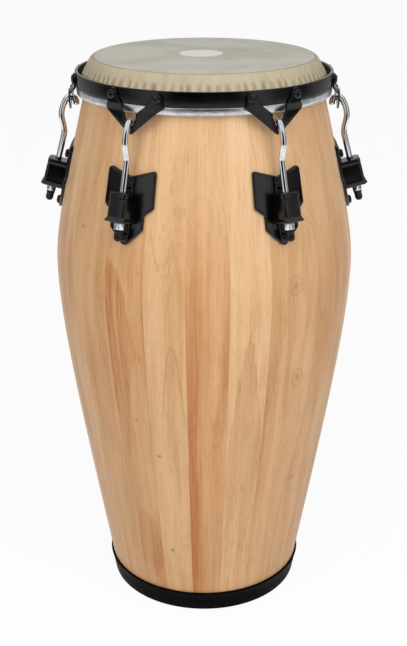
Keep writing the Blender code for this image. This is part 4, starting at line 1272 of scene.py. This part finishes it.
@dataclass
class TensionRods:
    """The bent hooks, their nuts and their caps."""

    finishes: Finishes
    yokes: Yokes
    hook_round: float = 0.007
    hook_lip: float = 0.0105
    leave_angle: float = 35.0
    bow: float = 0.0132
    bow_drop: float = 0.0245
    drop: float = 0.050
    nut_top: float = 0.0168
    nut_height: float = 0.0085
    nut_flats: float = 0.012
    cap_top: float = 0.026
    cap_radius: float = 0.0055
    cap_length: float = 0.014
    sides: int = 24

    def on_axis(self, point: Point) -> Vector:
        """A point of a lug's plane in the frame of its rod."""
        middle = LAYOUT.axis_point(0)
        across, up = point[0] - middle[0], point[1] - middle[1]
        cosine, sine = math.cos(LAYOUT.rod_tilt), math.sin(LAYOUT.rod_tilt)
        return Vector((across * cosine + up * sine, 0, up * cosine - across * sine))

    def path(self) -> list[Vector]:
        """Path of a rod: hook tip, over the yoke's web, bow, then straight down."""
        _, web, _ = self.yokes.places()
        shift = LAYOUT.rim_travel * math.tan(LAYOUT.rod_tilt)
        inner = self.hook_round - LAYOUT.rod_radius
        half_web = (self.yokes.thickness + shift) / 2
        rise = inner - math.sqrt(inner**2 - half_web**2)
        crown = (
            self.yokes.radius(web) + (self.yokes.thickness - shift) / 2,
            web + LAYOUT.gap + rise + LAYOUT.rod_radius,
        )
        tip = (crown[0] - self.hook_round, crown[1] - self.hook_lip)
        over = arc((crown[0], crown[1] - self.hook_round), self.hook_round, 180, self.leave_angle, 18)
        leave = over[-1]
        bow = (crown[0] + self.bow, crown[1] - self.bow_drop)
        handle = (leave[1] - bow[1]) / 3
        lean = math.radians(self.leave_angle)
        after = (leave[0] + handle * math.sin(lean), leave[1] - handle * math.cos(lean))
        down = cubic(leave, after, (bow[0], bow[1] + handle), bow, 10)
        joint = LAYOUT.axis_point((LAYOUT.bracket_height - crown[1] + self.drop) / math.cos(LAYOUT.rod_tilt))
        handle = (bow[1] - joint[1]) / 3
        ahead = (joint[0] - handle * math.sin(LAYOUT.rod_tilt), joint[1] + handle * math.cos(LAYOUT.rod_tilt))
        settle = cubic(bow, (bow[0], bow[1] - handle), ahead, joint, 14)
        end = LAYOUT.axis_point(self.cap_top + 0.005)
        return [self.on_axis(p) for p in [tip, *over, *down[1:], *settle[1:], end]]

    def bar(self) -> Workpiece:
        """The round bar, drawn along its path, its tip rounded."""
        points = self.path()
        work = Workpiece()
        first = bmesh.ops.create_circle(work.bm, cap_ends=False, segments=self.sides, radius=LAYOUT.rod_radius)
        ring = [e for e in work.bm.edges]
        heading = Vector((0, 0, 1))
        place = Vector((0, 0, 0))
        for i, here in enumerate(points):
            back = points[max(i - 1, 0)]
            ahead = points[min(i + 1, len(points) - 1)]
            along = ((here - back).normalized() + (ahead - here).normalized()).normalized()
            if i:
                lifted = bmesh.ops.extrude_edge_only(work.bm, edges=ring)["geom"]
                ring = [e for e in lifted if isinstance(e, bmesh.types.BMEdge)]
            verts = list({v for e in ring for v in e.verts})
            turn = heading.rotation_difference(along).to_matrix()
            bmesh.ops.rotate(work.bm, verts=verts, cent=place, matrix=turn)
            bmesh.ops.translate(work.bm, verts=verts, vec=here - place)
            heading, place = along, here
        bmesh.ops.holes_fill(work.bm, edges=[e for e in work.bm.edges if e.is_boundary], sides=0)
        work.tidy()
        caps = [f for f in work.bm.faces if len(f.verts) == self.sides]
        work.soften([e for f in caps for e in f.edges], 0.0014, 3)
        del first
        return work

    def nut(self) -> Workpiece:
        """A hexagon nut with rounded corners and chamfers."""
        work = Workpiece()
        corner = self.nut_flats / math.sqrt(3)
        middle = Matrix.Translation((0, 0, -self.nut_top - self.nut_height / 2))
        bmesh.ops.create_cone(
            work.bm, cap_ends=True, segments=6, radius1=corner, radius2=corner, depth=self.nut_height, matrix=middle
        )
        upright = [e for e in work.bm.edges if abs(e.verts[0].co.z - e.verts[1].co.z) > 1e-4]
        work.soften(upright, 0.0007, 3)
        caps = [f for f in work.bm.faces if abs(f.normal.z) > 0.9]
        work.soften(list({e for f in caps for e in f.edges}), 0.0005, 2)
        return work

    def cap(self) -> Workpiece:
        """A domed cap with an open top and a small brim."""
        top = -self.cap_top
        low = top - self.cap_length
        bore = LAYOUT.rod_radius + LAYOUT.gap
        profile = [(bore, top), (self.cap_radius - 0.0003, top), (self.cap_radius, top - 0.0004)]
        profile += [(self.cap_radius, top - 0.0022), (self.cap_radius - 0.0004, top - 0.0026)]
        profile += arc((0, low + self.cap_radius - 0.0004), self.cap_radius - 0.0004, 0, -90, 8)[:-1]
        profile += [(0.0, low), (0.0, top - 0.0108), (bore, top - 0.0108)]
        work = Workpiece()
        verts = [work.bm.verts.new((r, 0, h)) for r, h in profile]
        edges = [work.bm.edges.new(pair) for pair in zip(verts, verts[1:] + verts[:1]) if
                 not (pair[0].co.x == 0 and pair[1].co.x == 0)]
        bmesh.ops.spin(
            work.bm, geom=verts + edges, cent=(0, 0, 0), axis=(0, 0, 1), dvec=(0, 0, 0), angle=math.tau,
            steps=28, use_merge=True,
        )
        return work.tidy()

    def build(self) -> None:
        """Builds one rod, nut and cap and sets them at the six lugs."""
        bar, nut, cap = self.bar(), self.nut(), self.cap()
        for i, turn in enumerate(LAYOUT.turns(), start=1):
            place = LAYOUT.axis_frame(turn)
            rod = bar.copy().moved(place).made(f"rod_{i}", self.finishes.chrome, 50)
            mount(rod, f"{Body.ROD.value}{i}", [f"tension_rod_{i}"])
            hexagon = nut.copy().moved(place).made(f"nut_{i}", self.finishes.chrome)
            mount(hexagon, f"{Body.NUT.value}{i}", [f"tension_nut_{i}"])
            end = cap.copy().moved(place).made(f"cap_{i}", self.finishes.cap, 50)
            mount(end, f"{Body.ROD.value}{i}", [f"rod_cap_{i}"])


@dataclass
class Brackets:
    """The cast brackets that are wrapped on the shell, with their bolts."""

    finishes: Finishes
    thickness: float = 0.004
    border: float = 0.0025
    recess: float = 0.0012
    half_width: float = 0.0346
    wing_top: float = 0.0445
    notch: float = 0.0345
    wing_foot: float = 0.001
    tail_half_width: float = 0.0228
    tail_shoulder: float = 0.010
    tail_taper: float = 0.0275
    tail_tip: float = 0.0495
    spine: float = 0.010
    housing_half: float = 0.0125
    housing_back: float = -0.0144
    housing_top: float = 0.0195
    housing_bottom: float = 0.0165
    corner: float = 0.0045
    bore: float = 0.005

    def plate(self) -> Workpiece:
        """The winged plate with its recesses, wrapped on the shell."""
        base = LAYOUT.bracket_height
        right = [
            (self.half_width - 0.0015, self.wing_top, 0.004),
            (self.half_width, -self.wing_foot, 0.004),
            (self.tail_half_width, -self.tail_shoulder, 0.002),
            (self.tail_half_width, -self.tail_taper, 0.004),
        ]
        left = [(-v, w, r) for v, w, r in reversed(right)]
        corners = [(0.0, self.notch, 0.002), *right, (0.0, -self.tail_tip, 0.007), *left]
        outline = [(v, w + base) for v, w in rounded(corners, 6)]
        work = Workpiece()
        outer = work.plate(outline, self.thickness)
        work.soften(list(outer[0].edges), 0.0009, 3)
        side = self.spine / 2 - self.border
        work.cut(1, [-side, side])
        wings = [
            f for f in work.bm.faces
            if f.normal.x > 0.99 and abs(f.calc_center_median().y) > side and f.calc_area() > 1e-4
        ]
        bmesh.ops.inset_individual(work.bm, faces=wings, thickness=self.border - 0.0009, use_even_offset=True)
        bmesh.ops.inset_individual(
            work.bm, faces=wings, thickness=0.0007, depth=-self.recess, use_even_offset=True
        )
        work.cut(1, [self.half_width * i / 18 for i in range(-17, 18)])
        work.cut(2, [base + 0.006 * i for i in range(-8, 8)])
        bmesh.ops.triangulate(work.bm, faces=work.bm.faces)
        return work.wrap(lambda height: LAYOUT.shell_radius(height) + LAYOUT.gap).tidy()

    def section(self, height: float, outset: float) -> list[Vector]:
        """One section of the housing, square to the rod, its back inside the plate."""
        half = self.housing_half + outset
        front = self.housing_half + outset
        c = self.corner
        points = [(self.housing_back, -half)]
        points += arc((front - c, c - half), c, -90, 0, 6)
        points += arc((front - c, half - c), c, 0, 90, 6)
        points += [(self.housing_back, half)]
        return [Vector((x, y, height)) for x, y in points]

    def housing(self) -> Workpiece:
        """The housing: a grooved collar above, straight flanks and a flared lip below."""
        top, low = self.housing_top, -self.housing_bottom
        stations = [
            (low, 0.0012), (low + 0.0005, 0.0018), (low + 0.0012, 0.0023), (low + 0.0020, 0.0024),
            (low + 0.0032, 0.0016), (low + 0.0046, 0.0006), (low + 0.0062, 0.0001), (low + 0.008, 0.0),
            (top - 0.0090, 0.0), (top - 0.0082, -0.0002), (top - 0.0076, -0.0009), (top - 0.0068, -0.0009),
            (top - 0.0062, -0.0002), (top - 0.0056, 0.0), (top - 0.0014, 0.0), (top - 0.0006, -0.0003),
            (top, -0.0012),
        ]
        work = Workpiece().rings([self.section(h, o) for h, o in stations])
        return work

    def bored(self, work: Workpiece) -> Workpiece:
        """Drills the rod's hole through the housing."""
        blank = work.made("housing_blank", self.finishes.casting)
        drill = Workpiece()
        bmesh.ops.create_cone(
            drill.bm, cap_ends=True, segments=32, radius1=self.bore, radius2=self.bore,
            depth=2 * (self.housing_top + self.housing_bottom),
        )
        tool = drill.made("housing_drill", self.finishes.casting)
        cut = blank.modifiers.new("bore", "BOOLEAN")
        cut.operation = "DIFFERENCE"
        cut.solver = "EXACT"
        cut.object = tool
        bpy.context.view_layer.update()
        done = bpy.data.meshes.new_from_object(blank.evaluated_get(bpy.context.evaluated_depsgraph_get()))
        other = Workpiece()
        other.bm.from_mesh(done)
        for item in (blank, tool):
            bpy.data.objects.remove(item, do_unlink=True)
        bpy.data.meshes.remove(done)
        return other

    def bolt(self) -> Workpiece:
        """A bolt: button head outside, shank, and washer and nut inside the shell."""
        seat = 2 * LAYOUT.gap + self.thickness
        inside = -LAYOUT.wall - 0.0012
        work = button_head(0.006, 0.0045, 0.002)
        work.moved(Matrix.Translation((0, 0, seat)))
        rest = Workpiece().spin(
            [(0.0, inside - 0.007), (0.003, inside - 0.007), (0.003, seat + 0.0002), (0.0, seat + 0.0002)], 20
        )
        washer = Workpiece().spin([(0.0031, inside), (0.0075, inside), (0.0075, inside - 0.0012), (0.0031, inside - 0.0012)], 32)
        nut = Workpiece()
        bmesh.ops.create_cone(
            nut.bm, cap_ends=True, segments=6, radius1=0.0055, radius2=0.0055, depth=0.005,
            matrix=Matrix.Translation((0, 0, inside - 0.0012 - 0.0025)),
        )
        nut.soften([e for e in nut.bm.edges], 0.0004, 2)
        for extra in (rest, washer, nut):
            mesh = bpy.data.meshes.new("extra")
            extra.bm.to_mesh(mesh)
            extra.bm.free()
            work.bm.from_mesh(mesh)
            bpy.data.meshes.remove(mesh)
        return work

    def build(self) -> None:
        """Builds one bracket and one bolt and sets them at the six lugs."""
        plate, housing, bolt = self.plate(), self.bored(self.housing()), self.bolt()
        for i, turn in enumerate(LAYOUT.turns(), start=1):
            winged = plate.copy().moved(Matrix.Rotation(turn, 4, "Z"))
            mesh = bpy.data.meshes.new("housing")
            placed = housing.copy().moved(LAYOUT.axis_frame(turn))
            placed.bm.to_mesh(mesh)
            placed.bm.free()
            winged.bm.from_mesh(mesh)
            bpy.data.meshes.remove(mesh)
            bracket = winged.made(f"bracket_{i}", self.finishes.casting, 30)
            mount(bracket, Body.SHELL.value, [f"lug_bracket_{i}"])
            for place in BoltPlace:
                height = LAYOUT.bracket_height + place.value
                mark = place.name.lower()
                piece = bolt.copy().moved(LAYOUT.bolt_frame(turn, height))
                fastener = piece.made(f"bolt_{i}_{mark}", self.finishes.fastener)
                mount(fastener, Body.SHELL.value, [f"bracket_bolt_{i}_{mark}"])


@dataclass(frozen=True)
class Lamp:
    """A soft lamp: its name, power in watts, side in metres, turn round the drum, height angle and distance."""

    name: str
    power: float
    size: float
    turn: float
    rise: float
    distance: float


@dataclass
class Studio:
    """Camera, white floor, soft lamps, and a surround that polished metal sees bright to both sides of its front.

    walls and floor_mirror give how bright the surround and the floor are to polished surfaces at each turn
    from the front, in degrees. Near the drum the floor is white to them.
    """

    camera_place: tuple[float, float, float] = (-0.0009, -1.507, 1.0004)
    camera_pitch: float = 67.85
    lens: float = 64.23
    floor_colour: Colour = srgb(244, 244, 244)
    floor_glow: float = 0.93
    near_floor: Point = (2.0, 3.0)
    horizon: Point = (0.08, 0.22)
    overhead: Point = (0.36, 0.54)
    overhead_level: float = 0.85
    surround: float = 0.37
    walls: tuple[Point, ...] = (
        (0, 0.01), (26, 0.02), (34, 0.90), (39, 1.0), (53, 1.0), (60, 0.30), (70, 0.30), (80, 0.70), (92, 0.60),
        (106, 0.08), (158, 0.06), (172, 0.60), (180, 0.90),
    )
    floor_mirror: tuple[Point, ...] = (
        (0, 0.0), (23, 0.01), (30, 0.14), (40, 0.80), (46, 1.0), (52, 1.0), (60, 0.55), (70, 0.20), (84, 0.10),
        (95, 0.12), (108, 0.45), (126, 0.48), (144, 0.35), (162, 0.55), (180, 0.85),
    )
    aim: tuple[float, float, float] = (0.0, 0.0, 0.45)
    lamps: tuple[Lamp, ...] = (
        Lamp("right", 23.0, 1.3, 39.0, 26.0, 2.3),
        Lamp("left", 20.0, 1.3, -38.0, 26.0, 2.3),
        Lamp("top", 11.0, 1.2, 8.0, 60.0, 2.3),
    )

    def build(self) -> None:
        """Builds camera, floor, lamps and world."""
        self.build_camera()
        self.build_floor()
        self.build_lamps()
        self.build_world()

    def build_camera(self) -> None:
        """The camera at the photograph's angle."""
        data = bpy.data.cameras.new("camera")
        data.lens = self.lens
        data.sensor_width = 36.0
        camera = bpy.data.objects.new("camera", data)
        camera.location = self.camera_place
        camera.rotation_euler = (math.radians(self.camera_pitch), 0, 0)
        bpy.context.scene.collection.objects.link(camera)
        bpy.context.scene.camera = camera

    def build_floor(self) -> None:
        """A plain floor, white to the camera and to polished metal, which keeps the drum's shadow."""
        work = Workpiece()
        bmesh.ops.create_grid(work.bm, x_segments=2, y_segments=2, size=9.0)
        tree = NodeTree.of_material("floor")
        grain = tree.noise(tree.coords, 3.0, 3.0, 0.5)
        tree.surface(Base_Color=self.floor_colour, Roughness=tree.remap(grain, 0.3, 0.7, 0.85, 0.95))
        x, y, _ = tree.split(tree.coords)
        away = tree.math("SQRT", tree.total(tree.product(x, x), tree.product(y, y)))
        glossy = tree.seen_by("Glossy")
        mirrored = tree.remap(away, *self.near_floor, 1.0, self.mirrored(tree, self.floor_mirror))
        glow = tree.nodes.new("ShaderNodeEmission")
        tree.put(glow.inputs["Strength"], tree.total(1.0, tree.product(glossy, tree.total(mirrored, -1.0))))
        mixer = tree.nodes.new("ShaderNodeMixShader")
        white = tree.product(tree.seen_by("Camera", "Transmission"), self.floor_glow)
        tree.put(mixer.inputs[0], tree.math("MAXIMUM", glossy, white))
        tree.links.new(tree.shader.outputs[0], mixer.inputs[1])
        tree.links.new(glow.outputs[0], mixer.inputs[2])
        tree.links.new(mixer.outputs[0], tree.nodes["Material Output"].inputs["Surface"])
        work.made("floor", tree.owner)

    def build_lamps(self) -> None:
        """Soft lamps: one to each side of the front and one high before it."""
        aim = Vector(self.aim)
        for item in self.lamps:
            turn, rise = math.radians(item.turn), math.radians(item.rise)
            away = Vector((math.sin(turn) * math.cos(rise), -math.cos(turn) * math.cos(rise), math.sin(rise)))
            data = bpy.data.lights.new(item.name, "AREA")
            data.energy = item.power
            data.size = item.size
            lamp = bpy.data.objects.new(item.name, data)
            lamp.visible_glossy = False
            lamp.location = aim + away * item.distance
            lamp.rotation_euler = (-away).to_track_quat("-Z", "Y").to_euler()
            bpy.context.scene.collection.objects.link(lamp)

    def mirrored(self, tree: NodeTree, levels: tuple[Point, ...]) -> Socket:
        """How bright a point or direction is to polished surfaces, by its turn from the front."""
        x, y, _ = tree.split(tree.coords)
        turn = tree.math("ABSOLUTE", tree.math("ARCTAN2", x, tree.math("MULTIPLY", y, -1.0)))
        stops = tuple((degrees / 180, (level, level, level)) for degrees, level in levels)
        level, _, _ = tree.split(tree.ramp(tree.product(turn, 1 / math.pi), stops))
        return level

    def build_world(self) -> None:
        """A soft even surround, white to the camera and uneven to polished surfaces."""
        bpy.context.scene.world = bpy.data.worlds.new("surround")
        tree = NodeTree(bpy.context.scene.world, "Generated")
        background = tree.nodes["Background"]
        background.inputs["Color"].default_value = (1, 1, 1, 1)
        _, _, z = tree.split(tree.coords)
        sides = tree.remap(z, *self.horizon, self.mirrored(tree, self.floor_mirror), self.mirrored(tree, self.walls))
        mirrored = tree.remap(z, *self.overhead, sides, self.overhead_level)
        camera, glossy = tree.seen_by("Camera", "Transmission"), tree.seen_by("Glossy")
        other = tree.math("SUBTRACT", 1.0, tree.math("MAXIMUM", camera, glossy))
        level = tree.total(camera, tree.product(glossy, mirrored), tree.product(other, self.surround))
        tree.put(background.inputs["Strength"], level)


def main() -> None:
    """Builds the drum and its studio."""
    logging.basicConfig(level=logging.INFO, format="%(name)s %(message)s")
    bpy.context.scene.view_settings.view_transform = "Standard"
    finishes = Finishes()
    yokes = Yokes(finishes)
    for assembly in (Barrel(finishes), Rim(finishes), yokes, TensionRods(finishes, yokes), Brackets(finishes), Studio()):
        assembly.build()


if __name__ == "__main__":
    main()
